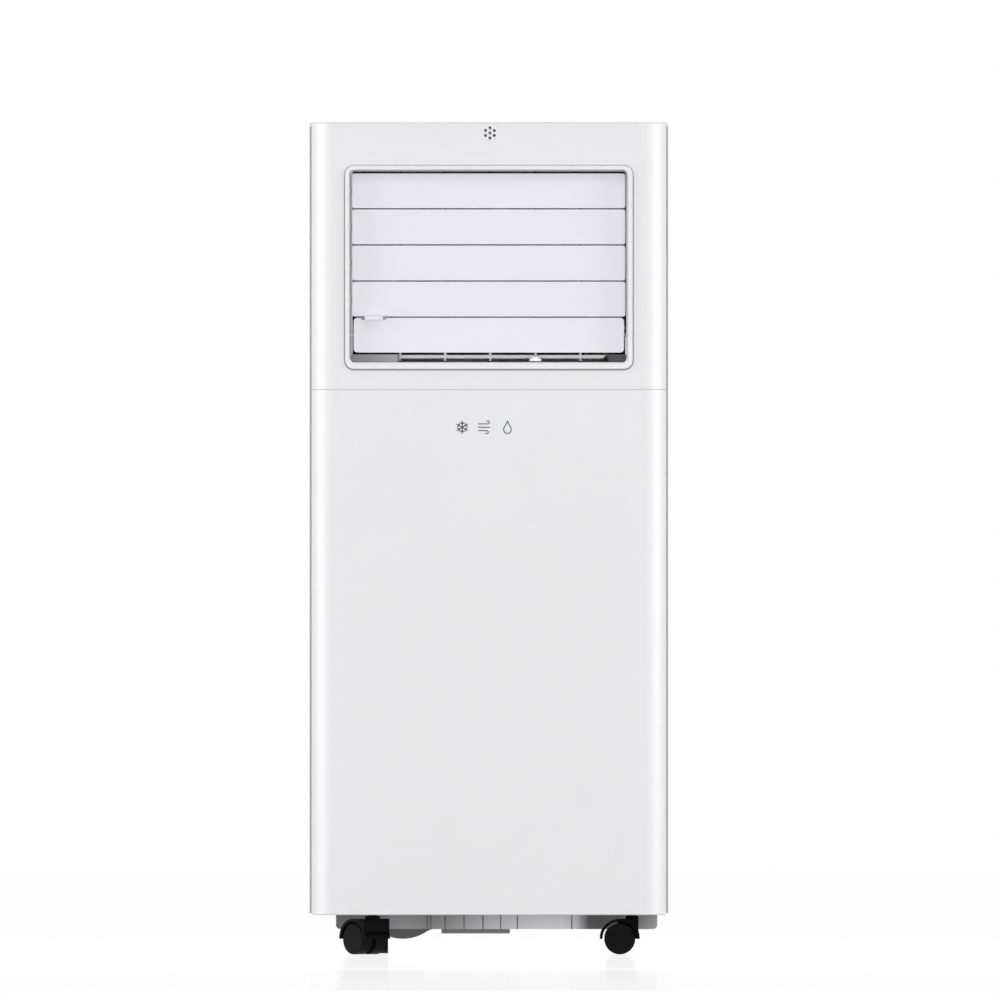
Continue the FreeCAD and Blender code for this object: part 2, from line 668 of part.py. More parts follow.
def vane_link():
    """The level bar that ties the vanes' cranks together."""
    left = vane_place(0) - 3.5
    right = vane_place(VANES - 1) + 22
    slant = 3.0
    outline = [
        (left, VANE_BAR_LOW), (right - slant, VANE_BAR_LOW), (right, VANE_BAR_HIGH),
        (left, VANE_BAR_HIGH), (left, VANE_BAR_LOW),
    ]
    face = Part.Face(Part.makePolygon([Vector(x, VANE_CRANK_Y - 2, z) for x, z in outline]))
    bar = face.extrude(Vector(0, 4, 0))
    holes = []
    for index in range(VANES):
        x, y = vane_place(index), VANE_CRANK_Y
        holes.append(rod(CRANK_PIN_RADIUS + PIN_FIT, (x, y, VANE_BAR_LOW - 1), (x, y, VANE_BAR_HIGH + 1)))
    return bar.cut(holes)


# ---------------------------------------------------------------- back pieces


def slatted(half_width, low, high, front, back, corner, rows, columns, border, web):
    """A flat plate with rows and columns of slots in it."""
    plate = rounded_block("xz", -half_width, half_width, low, high, front, back, corner)
    cell_width = (2 * (half_width - border) + web) / columns
    cell_height = (high - low - 2 * border + web) / rows
    slots = []
    for column in range(columns):
        x = -half_width + border + column * cell_width
        for row in range(rows):
            z = low + border + row * cell_height
            slots.append(box(x, x + cell_width - web, front - 1, back + 1, z, z + cell_height - web))
    return plate.cut(slots)


def filter_door():
    """The slatted door over the upper intake, with a finger tab at its top."""
    door = slatted(
        FILTER_HALF_WIDTH - 0.6, FILTER_LOW + 1, FILTER_HIGH - 1, BACK_FACE - 5, BACK_FACE, 3.5,
        rows=22, columns=4, border=12, web=3,
    )
    tab = rounded_block("xz", -16, 16, FILTER_HIGH - 9, FILTER_HIGH - 4, BACK_FACE - 1, BACK_FACE + 4, 2)
    clips = []
    for side in (-1, 1):
        x = side * (FILTER_HALF_WIDTH - 7.5)
        for z in (FILTER_LOW + 60, FILTER_HIGH - 60):
            clips.append(box(x - 2, x + 2, 142.5, BACK_FACE - 4, z - 5, z + 5))
    return joined(door, tab, *clips)


def filter_mesh():
    """The washable dust filter carried on the door."""
    frame = slatted(FILTER_HALF_WIDTH - 10, FILTER_LOW + 10, FILTER_HIGH - 10, 142.6, 145.6, 3, 3, 2, 5, 3)
    sheet = box(
        -FILTER_HALF_WIDTH + 12, FILTER_HALF_WIDTH - 12, 143.8, 144.4, FILTER_LOW + 12, FILTER_HIGH - 12
    )
    return joined(frame, sheet)


def lower_grille():
    """The fixed slatted grille over the condenser intake."""
    return slatted(
        GRILLE_HALF_WIDTH - 0.5, GRILLE_LOW + 0.5, GRILLE_HIGH - 0.5, BACK_FACE - 5, BACK_FACE, 3.5,
        rows=16, columns=4, border=8, web=3,
    )


def exhaust_port():
    """The round hose spigot with a finger guard at its inner end and three bayonet lugs."""
    outer_radius = PORT_RADIUS + PORT_WALL
    tube = ring(outer_radius, PORT_RADIUS, (0, PORT_STEP, PORT_Z), (0, HALF_DEPTH, PORT_Z))
    guard_radius = PORT_RADIUS - 4
    seat = ring(outer_radius, guard_radius, (0, PORT_INNER_END, PORT_Z), (0, PORT_STEP, PORT_Z))
    flange = ring(outer_radius + 12, outer_radius - 1, (0, BACK_FACE, PORT_Z), (0, BACK_FACE + 2.5, PORT_Z))
    flange = softened(flange, 1.0, 1, BACK_FACE + 2.5)
    parts = [tube, seat, flange]
    guard_front, guard_back = PORT_INNER_END + 1, PORT_STEP - 1
    for radius in (13.0, 28.5, 44.0):
        parts.append(ring(radius + 2.5, radius, (0, guard_front, PORT_Z), (0, guard_back, PORT_Z)))
    for turn in (0, 60, 120):
        bar = box(-guard_radius - 1, guard_radius + 1, guard_front, guard_back, PORT_Z - 1.5, PORT_Z + 1.5)
        bar.rotate(Vector(0, 0, PORT_Z), Vector(0, 1, 0), turn)
        parts.append(bar)
    for turn in (90, 210, 330):
        angle = math.radians(turn)
        reach = outer_radius + 1
        x, z = reach * math.cos(angle), PORT_Z + reach * math.sin(angle)
        parts.append(rod(2.5, (x, BACK_FACE + 5.5, z), (x, BACK_FACE + 8.5, z)))
    return joined(*parts)


def cord_gland():
    """The bush in the back panel through which the supply cord would pass."""
    start = (GLAND_X, BACK_INNER - 6, GLAND_Z)
    end = (GLAND_X, BACK_FACE + 6, GLAND_Z)
    flange = rod(11.5, (GLAND_X, BACK_FACE, GLAND_Z), (GLAND_X, BACK_FACE + 2.4, GLAND_Z))
    flange = softened(flange, 0.8, 1, BACK_FACE + 2.4)
    return joined(rod(7.9, start, end), flange).cut(
        rod(4.2, (GLAND_X, BACK_INNER - 8, GLAND_Z), (GLAND_X, BACK_FACE + 8, GLAND_Z))
    )


def drain_plug(level):
    """A soft plug in a drain spout, with a pull ear."""
    seat = BACK_FACE + 2.4
    cap = rod(SPOUT_RADIUS + 0.9, (DRAIN_X, seat, level), (DRAIN_X, seat + 4.2, level))
    cap = softened(cap, 1.0, 1, seat + 4.2)
    stem = rod(SPOUT_BORE - 0.08, (DRAIN_X, seat - 13, level), (DRAIN_X, seat + 1, level))
    ear_low = level - SPOUT_RADIUS - 5.5
    ear = box(DRAIN_X - 2.5, DRAIN_X + 2.5, seat + 1, seat + 3, ear_low, level)
    return joined(cap, stem, ear)


def back_screws():
    """The pan-head screws that hold the back panel."""
    screws = []
    for x, z in screw_places():
        head = softened(rod(3.6, (x, BACK_FACE, z), (x, BACK_FACE + 2.2, z)), 0.9, 1, BACK_FACE + 2.2)
        shank = rod(SCREW_RADIUS, (x, BACK_INNER - 8, z), (x, BACK_FACE + 1, z))
        cross = [
            box(x - 2, x + 2, BACK_FACE + 1.2, BACK_FACE + 3, z - 0.45, z + 0.45),
            box(x - 0.45, x + 0.45, BACK_FACE + 1.2, BACK_FACE + 3, z - 2, z + 2),
        ]
        screws.append(joined(head, shank).cut(cross))
    return Part.makeCompound(screws)


# ---------------------------------------------------------------- base


def base_pan():
    """The moulded base: a tub under the machinery, a flange inside the panels and four caster bosses."""
    tub = rounded_block("xz", PAN_LEFT, PAN_RIGHT, PAN_BOTTOM, PAN_RIM + 10, PAN_FRONT, PAN_BACK, 3.5)
    tub = tub.cut(box(PAN_LEFT - 1, PAN_RIGHT + 1, PAN_FRONT - 1, PAN_BACK + 1, PAN_RIM, PAN_RIM + 20))
    inner_left, inner_right = PAN_LEFT + PAN_WALL, PAN_RIGHT - PAN_WALL
    inner_front, inner_back = PAN_FRONT + PAN_WALL, PAN_BACK - PAN_WALL
    floor = PAN_BOTTOM + PAN_WALL
    margin = 0.5
    flange = rounded_block(
        "xy", -146.5, 146.5, FRONT_INNER + margin, BACK_INNER - margin, FLANGE_LOW, FLANGE_HIGH, 21
    )
    bosses = [
        rod(11.0, (x, y, STEM_SHOULDER + 0.7), (x, y, PAN_RIM)) for x, y, _ in CASTERS.values()
    ]
    spout = rod(SPOUT_RADIUS, (DRAIN_X, PAN_BACK - 1, LOWER_DRAIN_Z), (DRAIN_X, BACK_FACE + 2, LOWER_DRAIN_Z))
    pan = joined(tub, flange, spout, *bosses)
    half_chord = math.sqrt((SUMP_RADIUS - WALL) ** 2 - (SUMP_BOTTOM + SUMP_RADIUS - PAN_BOTTOM) ** 2)
    cuts = [
        box(inner_left, inner_right, inner_front, inner_back, floor, PAN_RIM + 1),
        box(
            SUMP_X - half_chord, SUMP_X + half_chord, SUMP_FRONT + WALL, SUMP_BACK - WALL,
            PAN_BOTTOM - 1, floor + 1,
        ),
        rod(SPOUT_BORE, (DRAIN_X, PAN_BACK - 8, LOWER_DRAIN_Z), (DRAIN_X, BACK_FACE + 3, LOWER_DRAIN_Z)),
        box(77, 96, PAN_FRONT - 1, PAN_FRONT + 1.6, PAN_BOTTOM - 1, FLANGE_LOW),
    ]
    for x in (-52, -49, -37, -21, -5, 10, 24, 70):
        cuts.append(box(x - 0.5, x + 0.5, PAN_FRONT - 1, PAN_FRONT + 0.9, PAN_BOTTOM - 1, FLANGE_LOW))
    for x, y, _ in CASTERS.values():
        cuts.append(rod(STEM_PIN_RADIUS + PIN_FIT, (x, y, STEM_SHOULDER), (x, y, PAN_RIM - 2)))
    return pan.cut(cuts)


def sump_bowl():
    """The round-bottomed trough under the pan, flared into it, in which the splash wheel dips."""
    centre_z = SUMP_BOTTOM + SUMP_RADIUS
    turn = math.acos(1 - (PAN_BOTTOM - SUMP_BOTTOM) / (SUMP_RADIUS + SUMP_FLARE))

    def on_bowl(angle):
        x = SUMP_X + SUMP_RADIUS * math.sin(angle)
        return Vector(x, SUMP_FRONT, centre_z - SUMP_RADIUS * math.cos(angle))

    def on_flare(side, angle):
        reach = (SUMP_RADIUS + SUMP_FLARE) * math.sin(turn)
        x = SUMP_X + side * (reach - SUMP_FLARE * math.sin(angle))
        return Vector(x, SUMP_FRONT, PAN_BOTTOM - SUMP_FLARE + SUMP_FLARE * math.cos(angle))

    edges = [
        Part.Arc(on_flare(-1, 0), on_flare(-1, turn / 2), on_bowl(-turn)).toShape(),
        Part.Arc(on_bowl(-turn), on_bowl(0), on_bowl(turn)).toShape(),
        Part.Arc(on_bowl(turn), on_flare(1, turn / 2), on_flare(1, 0)).toShape(),
        Part.makeLine(on_flare(1, 0), on_flare(-1, 0)),
    ]
    outer = Part.Face(Part.Wire(edges)).extrude(Vector(0, SUMP_BACK - SUMP_FRONT, 0))
    hollow_front, hollow_back = SUMP_FRONT + WALL, SUMP_BACK - WALL
    inner = rod(SUMP_RADIUS - WALL, (SUMP_X, hollow_front, centre_z), (SUMP_X, hollow_back, centre_z))
    return outer.cut(inner)


def base_stiffener():
    """A flat plate under the pan below the compressor."""
    plate = rounded_block("xy", -40.1, 17.8, PAN_FRONT + 6, 60, 17.5, PAN_BOTTOM, 6)
    beads = [
        rounded_block("xy", x - 3, x + 3, PAN_FRONT + 16, 50, 16.5, 18.3, 2.9) for x in (-28, -11, 6)
    ]
    return plate.cut(beads)


def placed_caster(shape, x, y, trail_angle):
    """A caster piece, made trailing along +X from a stem at the origin, at its own place and turn."""
    shape.rotate(Vector(0, 0, 0), Vector(0, 0, 1), trail_angle)
    shape.translate(Vector(x, y, 0))
    return shape


def caster_hood(x, y, trail_angle):
    """The hood over both wheels, squared off on the stem's side, with its middle web, stem and pin."""
    axle = (CASTER_TRAIL, WHEEL_RADIUS)
    left = (axle[0], -HOOD_HALF_WIDTH, axle[1])
    right = (axle[0], HOOD_HALF_WIDTH, axle[1])
    inner_radius = HOOD_RADIUS - HOOD_WALL
    below = box(-60, 60, -60, 60, -10, WHEEL_RADIUS)
    top = WHEEL_RADIUS + HOOD_RADIUS
    corner = rounded_block(
        "xz", -STEM_RADIUS, axle[0], WHEEL_RADIUS - 5, top, -HOOD_HALF_WIDTH, HOOD_HALF_WIDTH, 1.5
    )
    hood = joined(rod(HOOD_RADIUS, left, right), corner)
    stem = rounded_block("xy", -STEM_RADIUS, STEM_RADIUS, -4.2, 4.2, top - 3, STEM_SHOULDER, 1.2)
    shell = joined(hood, stem).cut([rod(inner_radius, left, right), below])
    web_half = 1.6
    web = rod(inner_radius + 1, (axle[0], -web_half, axle[1]), (axle[0], web_half, axle[1]))
    hub = rod(5.0, (axle[0], -web_half, axle[1]), (axle[0], web_half, axle[1]))
    web = web.cut([below, box(axle[0] + 2, 60, -5, 5, 0, 60)])
    pin = rod(STEM_PIN_RADIUS, (0, 0, STEM_SHOULDER - 2), (0, 0, PAN_RIM - 3))
    bore = rod(3.1, (axle[0], -5, axle[1]), (axle[0], 5, axle[1]))
    return placed_caster(joined(shell, web, hub, pin).cut(bore), x, y, trail_angle)


def caster_wheels(x, y, trail_angle):
    """Two plain wheels with eased edges on one axle."""
    def on_axle(offset):
        return (CASTER_TRAIL, offset, WHEEL_RADIUS)

    parts = [rod(3.0, on_axle(-WHEEL_INNER - 1), on_axle(WHEEL_INNER + 1))]
    for side in (-1, 1):
        tyre = rod(WHEEL_RADIUS, on_axle(side * WHEEL_INNER), on_axle(side * WHEEL_OUTER))
        for level in (WHEEL_INNER, WHEEL_OUTER):
            tyre = softened(tyre, TYRE_EDGE, 1, side * level)
        parts.append(tyre)
    return placed_caster(joined(*parts), x, y, trail_angle)


# ---------------------------------------------------------------- machinery


def blower_wheel(radius, depth, blades, hub_depth):
    """A centrifugal wheel about Z: a disc at z 0, a ring of forward-curved blades, a rim and a bored hub."""
    inner = radius - 15
    parts = [
        rod(radius, (0, 0, 0), (0, 0, 2)),
        ring(radius, inner, (0, 0, depth - 3), (0, 0, depth)),
        rod(11, (0, 0, 1), (0, 0, hub_depth)),
    ]
    for step in range(blades):
        blade = box(inner + 0.5, radius - 0.5, -0.6, 0.6, 1, depth - 1)
        blade.rotate(Vector(inner + 7, 0, 0), Vector(0, 0, 1), 24)
        blade.rotate(Vector(0, 0, 0), Vector(0, 0, 1), step * ALL_ROUND / blades)
        parts.append(blade)
    bore = rod(FAN_SHAFT_RADIUS + SHAFT_FIT, (0, 0, -1), (0, 0, hub_depth + 1))
    return joined(*parts).cut(bore)


def upper_blower():
    """The room-air wheel, about Y, open to the back."""
    wheel = blower_wheel(UPPER_FAN_RADIUS, 48, 30, 38)
    wheel.rotate(Vector(0, 0, 0), Vector(1, 0, 0), -90)
    wheel.translate(Vector(0, -74, UPPER_FAN_Z))
    return wheel


def lower_blower():
    """The condenser-air wheel, about Z, open downwards."""
    wheel = blower_wheel(LOWER_FAN_RADIUS, 88, 30, 38)
    wheel.rotate(Vector(0, 0, 0), Vector(1, 0, 0), 180)
    wheel.translate(Vector(0, LOWER_FAN_Y, 366))
    return wheel


def upper_scroll():
    """The room-air fan housing, open to the duct in front and to the coil behind."""
    def hollow(inset, front, back):
        drum = rod(104 - inset, (0, front, UPPER_FAN_Z), (0, back, UPPER_FAN_Z))
        return joined(drum, box(-104 + inset, 118 - inset, front, back, UPPER_FAN_Z, 668 - inset))
    shell = hollow(0, -83, -12).cut(hollow(WALL, -83 + WALL, -12 - WALL))
    window = box(-100, 114, -84, -80, DUCT_LOW + 3, DUCT_HIGH - 3)
    inlet = rod(60, (0, -15, UPPER_FAN_Z), (0, -11, UPPER_FAN_Z))
    return shell.cut([window, inlet])


def upper_motor():
    """The room-air fan motor on a three-armed bracket, with its shaft."""
    body = softened(rod(38, (0, -11, UPPER_FAN_Z), (0, 32, UPPER_FAN_Z)), 4, 1, 32)
    parts = [body, rod(FAN_SHAFT_RADIUS, (0, -62, UPPER_FAN_Z), (0, -10, UPPER_FAN_Z))]
    for turn in (90, 210, 330):
        arm = box(30, 72, -12, -8, UPPER_FAN_Z - 7, UPPER_FAN_Z + 7)
        arm.rotate(Vector(0, 0, UPPER_FAN_Z), Vector(0, 1, 0), turn)
        parts.append(arm)
    return joined(*parts)


def lower_scroll():
    """The condenser-air fan housing: open below, and to the exhaust port behind."""
    low, high = 258.0, 378.0

    def hollow(inset, bottom, top, back):
        drum = rod(90 - inset, (0, LOWER_FAN_Y, bottom), (0, LOWER_FAN_Y, top))
        return joined(drum, box(-70 + inset, 90 - inset, LOWER_FAN_Y, back, bottom, top))
    shell = hollow(0, low, high, 119).cut(hollow(WALL, low + WALL, high - WALL, 120))
    inlet = rod(56, (0, LOWER_FAN_Y, low - 1), (0, LOWER_FAN_Y, low + 3))
    shaft_hole = rod(8, (0, LOWER_FAN_Y, high - 4), (0, LOWER_FAN_Y, high + 1))
    return shell.cut([inlet, shaft_hole])


def lower_motor():
    """The condenser fan motor standing on its housing, with its shaft."""
    body = softened(rod(38, (0, LOWER_FAN_Y, 378), (0, LOWER_FAN_Y, 408)), 4, 2, 408)
    return joined(body, rod(FAN_SHAFT_RADIUS, (0, LOWER_FAN_Y, 334), (0, LOWER_FAN_Y, 379)))


def drip_tray():
    """The partition between the two halves, with a trough under the evaporator and a drain spout."""
    tray = rounded_block("xy", -143.5, 143.5, -152, 146, TRAY_LOW, TRAY_HIGH, 14)
    rim = box(-124, 124, 86, 89, TRAY_HIGH - 1, 436)
    spout = rod(SPOUT_RADIUS, (DRAIN_X, 138, UPPER_DRAIN_Z), (DRAIN_X, BACK_FACE + 2, UPPER_DRAIN_Z))
    neck = box(DRAIN_X - 8, DRAIN_X + 8, 138, 146, TRAY_HIGH - 1, UPPER_DRAIN_Z)
    bore = rod(SPOUT_BORE, (DRAIN_X, 140, UPPER_DRAIN_Z), (DRAIN_X, BACK_FACE + 3, UPPER_DRAIN_Z))
    pipe_hole = rod(
        PIPE_RADIUS + 1.5, (SUCTION_X, COMPRESSOR_Y, TRAY_LOW - 1), (SUCTION_X, COMPRESSOR_Y, TRAY_HIGH + 1)
    )
    return joined(tray, rim, spout, neck).cut([bore, pipe_hole])


def coil(low, high, front, back, rows):
    """A finned heat exchanger: a block of fins, end plates and return bends."""
    half = 106.0
    middle = (front + back) / 2
    parts = [
        box(-half, half, front + 2, back - 2, low + 2, high - 2),
        box(-half - 2, -half, front, back, low, high),
        box(half, half + 2, front, back, low, high),
    ]
    step = (high - low - 24) / (rows - 1)
    for row in range(0, rows - 1, 2):
        level = low + 12 + row * step
        centre = Vector(half + 1, middle, level + step / 2)
        bend = Part.makeTorus(step / 2, 3.5, centre, Vector(0, 1, 0), -180, 180, 360)
        parts.append(bend.common(box(half + 1, half + 30, front, back, low, high)))
    return joined(*parts)


def evaporator_coil():
    """The cold coil behind the filter."""
    return coil(439, 664, 92, 132, 12)


def condenser_coil():
    """The hot coil behind the lower grille, on two feet."""
    body = coil(64, 236, 92, 130, 10)
    feet = [box(x - 14, x + 14, 104, 120, FLANGE_HIGH, 66) for x in (-60, 60)]
    return joined(body, *feet)


def compressor():
    """The hermetic compressor on three feet, with its suction accumulator."""
    x, y, radius = COMPRESSOR_X, COMPRESSOR_Y, COMPRESSOR_RADIUS
    can = softened(rod(radius, (x, y, 42), (x, y, 232)), 18, 2, 232)
    can = softened(can, 12, 2, 42)
    bottle_x = x + radius + 21
    bottle = softened(rod(18, (bottle_x, y, 70), (bottle_x, y, 188)), 9, 2, 188)
    bottle = softened(bottle, 9, 2, 70)
    parts = [
        can, bottle,
        box(x + radius - 4, bottle_x, y - 8, y + 8, 140, 152),
        rod(4, (bottle_x, y, 56), (bottle_x, y, 72)),
        rod(4, (x + 20, y, 60), (bottle_x + 4, y, 60)),
    ]
    for turn in (90, 210, 330):
        foot = box(x + 10, x + radius + 12, y - 9, y + 9, 40, 43.5)
        leg = rod(6, (x + radius + 4, y, PAN_BOTTOM + PAN_WALL), (x + radius + 4, y, 41))
        for piece in (foot, leg):
            piece.rotate(Vector(x, y, 0), Vector(0, 0, 1), turn)
            parts.append(piece)
    return joined(*parts)


def pipe(points, radius):
    """A round pipe along straight runs, with balls at its corners."""
    parts = [rod(radius, start, end) for start, end in zip(points, points[1:])]
    parts += [Part.makeSphere(radius, Vector(*point)) for point in points[1:-1]]
    return joined(*parts)


def refrigerant_pipes():
    """The discharge pipe to the condenser and the suction pipe from the evaporator."""
    bottle_x = COMPRESSOR_X + COMPRESSOR_RADIUS + 21
    y = COMPRESSOR_Y
    discharge = pipe([
        (COMPRESSOR_X, y, 232), (COMPRESSOR_X, y, 247), (COMPRESSOR_X, 111, 247), (COMPRESSOR_X, 111, 234),
    ], PIPE_RADIUS)
    suction = pipe([
        (bottle_x, y, 188), (bottle_x, y, 250), (SUCTION_X, y, 250), (SUCTION_X, y, 450),
        (SUCTION_X, 88, 450), (SUCTION_X, 112, 478.4), (108, 112, 478.4),
    ], PIPE_RADIUS)
    return Part.makeCompound([discharge, suction])


def electrical_box():
    """The control box behind the front panel, with the run capacitor beside it."""
    case = rounded_block("xz", -138, -52, 62, 232, -148, -108, 4)
    lid = rounded_block("xz", -136, -54, 64, 230, -150, -147, 3)
    capacitor = softened(rod(17, (-30, -130, 62), (-30, -130, 150)), 2, 2, 150)
    clamp = box(-54, -30, -136, -124, 96, 106)
    legs = [box(x - 6, x + 6, -140, -120, FLANGE_HIGH, 66) for x in (-120, -70)]
    return joined(case, lid, capacitor, clamp, *legs)


def splash_motor():
    """The small motor that turns the splash wheel, on its foot."""
    floor = PAN_BOTTOM + PAN_WALL
    body = softened(rod(19, (SUMP_X, 4, SPLASH_Z), (SUMP_X, 34, SPLASH_Z)), 2, 1, 4)
    foot = box(SUMP_X - 12, SUMP_X + 12, 10, 28, floor, SPLASH_Z - 10)
    return joined(body, foot, rod(2.5, (SUMP_X, 33, SPLASH_Z), (SUMP_X, 56, SPLASH_Z)))


def splash_wheel():
    """The paddle wheel that throws condensate on to the hot coil."""
    front, back = 46.0, 58.0
    parts = [rod(40, (SUMP_X, front + 4, SPLASH_Z), (SUMP_X, front + 6, SPLASH_Z))]
    parts.append(rod(7, (SUMP_X, front, SPLASH_Z), (SUMP_X, back, SPLASH_Z)))
    paddles = 12
    for step in range(paddles):
        paddle = box(SUMP_X + 24, SUMP_X + 39.5, front + 0.5, back - 0.5, SPLASH_Z - 0.8, SPLASH_Z + 0.8)
        paddle.rotate(Vector(SUMP_X, 0, SPLASH_Z), Vector(0, 1, 0), step * ALL_ROUND / paddles)
        parts.append(paddle)
    bore = rod(2.5 + SHAFT_FIT, (SUMP_X, front - 1, SPLASH_Z), (SUMP_X, back - 1, SPLASH_Z))
    return joined(*parts).cut(bore)


def all_nodes():
    """Every piece by name."""
    right_side = side_panel_right()
    nodes = {
        "front_lower_panel": front_lower_panel(),
        "front_upper_panel": front_upper_panel(),
        "side_panel_right": right_side,
        "side_panel_left": mirrored(right_side),
        "back_panel": back_panel(),
        "top_cover": top_cover(),
        "control_plate": control_plate(),
        "display_window": display_window(),
        "control_board": control_board(),
        "temperature_rocker": temperature_rocker(),
        "louvre_frame": louvre_frame(),
        "outlet_duct": outlet_duct(),
        "blade_link": blade_link(),
        "vane_link": vane_link(),
        "filter_door": filter_door(),
        "filter_mesh": filter_mesh(),
        "lower_grille": lower_grille(),
        "exhaust_port": exhaust_port(),
        "cord_gland": cord_gland(),
        "upper_drain_plug": drain_plug(UPPER_DRAIN_Z),
        "lower_drain_plug": drain_plug(LOWER_DRAIN_Z),
        "back_screws": back_screws(),
        "base_pan": base_pan(),
        "sump_bowl": sump_bowl(),
        "base_stiffener": base_stiffener(),
        "upper_scroll": upper_scroll(),
        "upper_blower": upper_blower(),
        "upper_motor": upper_motor(),
        "lower_scroll": lower_scroll(),
        "lower_blower": lower_blower(),
        "lower_motor": lower_motor(),
        "drip_tray": drip_tray(),
        "evaporator_coil": evaporator_coil(),
        "condenser_coil": condenser_coil(),
        "compressor": compressor(),
        "refrigerant_pipes": refrigerant_pipes(),
        "electrical_box": electrical_box(),
        "splash_motor": splash_motor(),
        "splash_wheel": splash_wheel(),
    }
    for name, x in BUTTON_X.items():
        nodes[name + "_button"] = push_button(x)
    for index in range(BLADES):
        nodes[f"louvre_blade_{index + 1}"] = louvre_blade(index)
    nodes["louvre_blade_4"] = joined(nodes["louvre_blade_4"], finger_tab())
    for index in range(VANES):
        nodes[f"vane_{index + 1}"] = upright_vane(index)
    knob_node = f"vane_{KNOB_VANE + 1}"
    nodes[knob_node] = joined(nodes[knob_node], vane_knob())
    for name, (x, y, trail_angle) in CASTERS.items():
        nodes[f"caster_{name}"] = caster_hood(x, y, trail_angle)
        nodes[f"wheels_{name}"] = caster_wheels(x, y, trail_angle)
    return nodes


os.makedirs("parts", exist_ok=True)
for node_name, shape in all_nodes().items():
    if not shape.isValid():
        raise ValueError(f"{node_name} is not a valid solid")
    print(f"{node_name}: {len(shape.Solids)} solid(s), {shape.Volume / 1000:.1f} cm3")
    shape.exportStep(f"parts/{node_name}.step")
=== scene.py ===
import json
import math

import bmesh
import bpy
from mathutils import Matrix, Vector


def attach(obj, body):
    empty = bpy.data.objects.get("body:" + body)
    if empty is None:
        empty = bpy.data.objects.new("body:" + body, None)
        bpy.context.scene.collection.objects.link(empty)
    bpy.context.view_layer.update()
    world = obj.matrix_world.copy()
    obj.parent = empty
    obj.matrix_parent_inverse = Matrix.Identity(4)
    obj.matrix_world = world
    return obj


# Looks for a slim portable air conditioner. Metres, +Z up, the front faces -Y.

MM = 0.001

# ---- view: how wide the camera sees, what it aims at, from how far and how steeply ----
VIEW_WIDTH = 0.845
CAMERA_AIM_X = 0.0094
CAMERA_AIM_Z = 0.3835
CAMERA_DISTANCE = 9.0
CAMERA_TILT = math.radians(0.2)
CAMERA_NEAR = 0.01
CAMERA_FAR = 100.0

# ---- studio: the sky's light by direction, the surround and the floor ----
SKY_LEVEL = 0.13
SKY_FRONT_GAIN = 0.22
SKY_TOP_GAIN = 0.02
SKY_LEAST = 0.08
BACKDROP_RADIUS = 30.0
BACKDROP_ROUNDNESS = 3
BACKDROP_GLOW = 1.0
FLOOR_SIDE = 40.0
FLOOR_COLOUR = (0.92, 0.92, 0.92)
FLOOR_GLOW = 1.03
FLOOR_GLOW_SHARE = 0.95
FLOOR_GLOSS_SHARE = 0.13
FLOOR_GLOSS_ROUGHNESS = 0.03

# ---- soft boxes: name, angle from the front, distance, height, aimed-at height, size, watts, in gloss ----
SOFT_BOXES = (
    ("light_left", -81.0, 2.6, 0.8, 0.36, (1.9, 2.6), 50.0, True),
    ("light_right", 81.0, 2.6, 0.8, 0.36, (1.9, 2.6), 50.0, True),
    ("light_front", 0.0, 4.0, 0.35, 0.35, (3.2, 1.6), 69.0, False),
    ("light_top", 0.0, 4.0, 4.6, 0.36, (2.0, 1.0), 36.0, True),
    ("light_back", 180.0, 2.6, 1.6, 0.36, (1.6, 2.6), 45.0, False),
)

# ---- colours ----
CASING_COLOUR = (0.80, 0.80, 0.812)
LOUVRE_COLOUR = (0.82, 0.81, 0.865)
FRAME_COLOUR = (0.83, 0.83, 0.842)
VANE_COLOUR = (0.95, 0.95, 0.96)
PAN_COLOUR = (0.40, 0.40, 0.41)
DUST_COLOUR = (0.22, 0.21, 0.2)
LINT_COLOUR = (0.35, 0.34, 0.32)
BLUE_IN_GREYS = 1.02

# ---- moulded plastic: lumps in metres across and deep, then shares of colour and gloss ----
WAVE_SIZE = 0.09
WAVE_DEPTH = 0.0004
PATCH_SIZE = 0.018
GRAIN_SIZE = 0.0007
GRAIN_DEPTH = 0.00002
GRAIN_STRENGTH = 0.12
GRAIN_SHADE = 0.86
GLOSS_DRIFT = 0.05
COAT_ROUGHNESS = 0.08

# ---- radians by which Blender's band texture turns over one unit ----
BAND_TURN = 20.0

# ---- painted light and shade along X, as (millimetres, grey) ----
# Painted light and shade on the base: darker at the left and in the caster's recess, lighter in the middle.
PAN_PAINTED_LIGHT_AND_SHADE = (
    (-129, 0.26), (-84, 0.50), (-53, 0.34), (-33, 0.42), (-13, 0.62), (13, 0.80),
    (40, 0.93), (62, 0.95), (74, 0.80), (84, 0.13), (96, 0.15), (112, 0.26), (142, 0.50),
)
# Painted light and shade in the air duct: lighter at its left end, dark across the rest.
DUCT_PAINTED_LIGHT_AND_SHADE = ((-117, 0.22), (-104, 0.26), (-78, 0.34), (-76, 0.10), (100, 0.06), (117, 0.06))

# ---- painted shade along Z, as (millimetres, grey) ----
# Painted shade in the groove round the louvre frame and in the sound holes.
PANEL_RECESS_PAINTED_SHADE = (
    (490, 0.25), (500, 0.46), (655, 0.46), (667, 0.72), (680, 0.72), (684, 0.02), (698.5, 0.02), (699.2, 0.8),
)

# ---- painted shade: where it starts along Y, where it ends, and its grey ----
SIDE_EDGE_Y = -126.5
SIDE_EDGE_PAINTED_SHADE = 0.36
BEVEL_Y = -160.7
BEVEL_PAINTED_SHADE = 0.42
PANEL_RECESS_Y = -158.8
PANEL_RECESS_HALF_WIDTH = 128.0
TAB_BACK_Y = -152.3
TAB_EDGE_PAINTED_SHADE = 0.28
VANE_SHADE_Y = -134.0
VANE_PAINTED_SHADE = 0.05
PAN_GROOVE_Y = -84.8
PAN_GROOVE_END_Y = -83.8
PAN_GROOVE_PAINTED_SHADE = 0.17

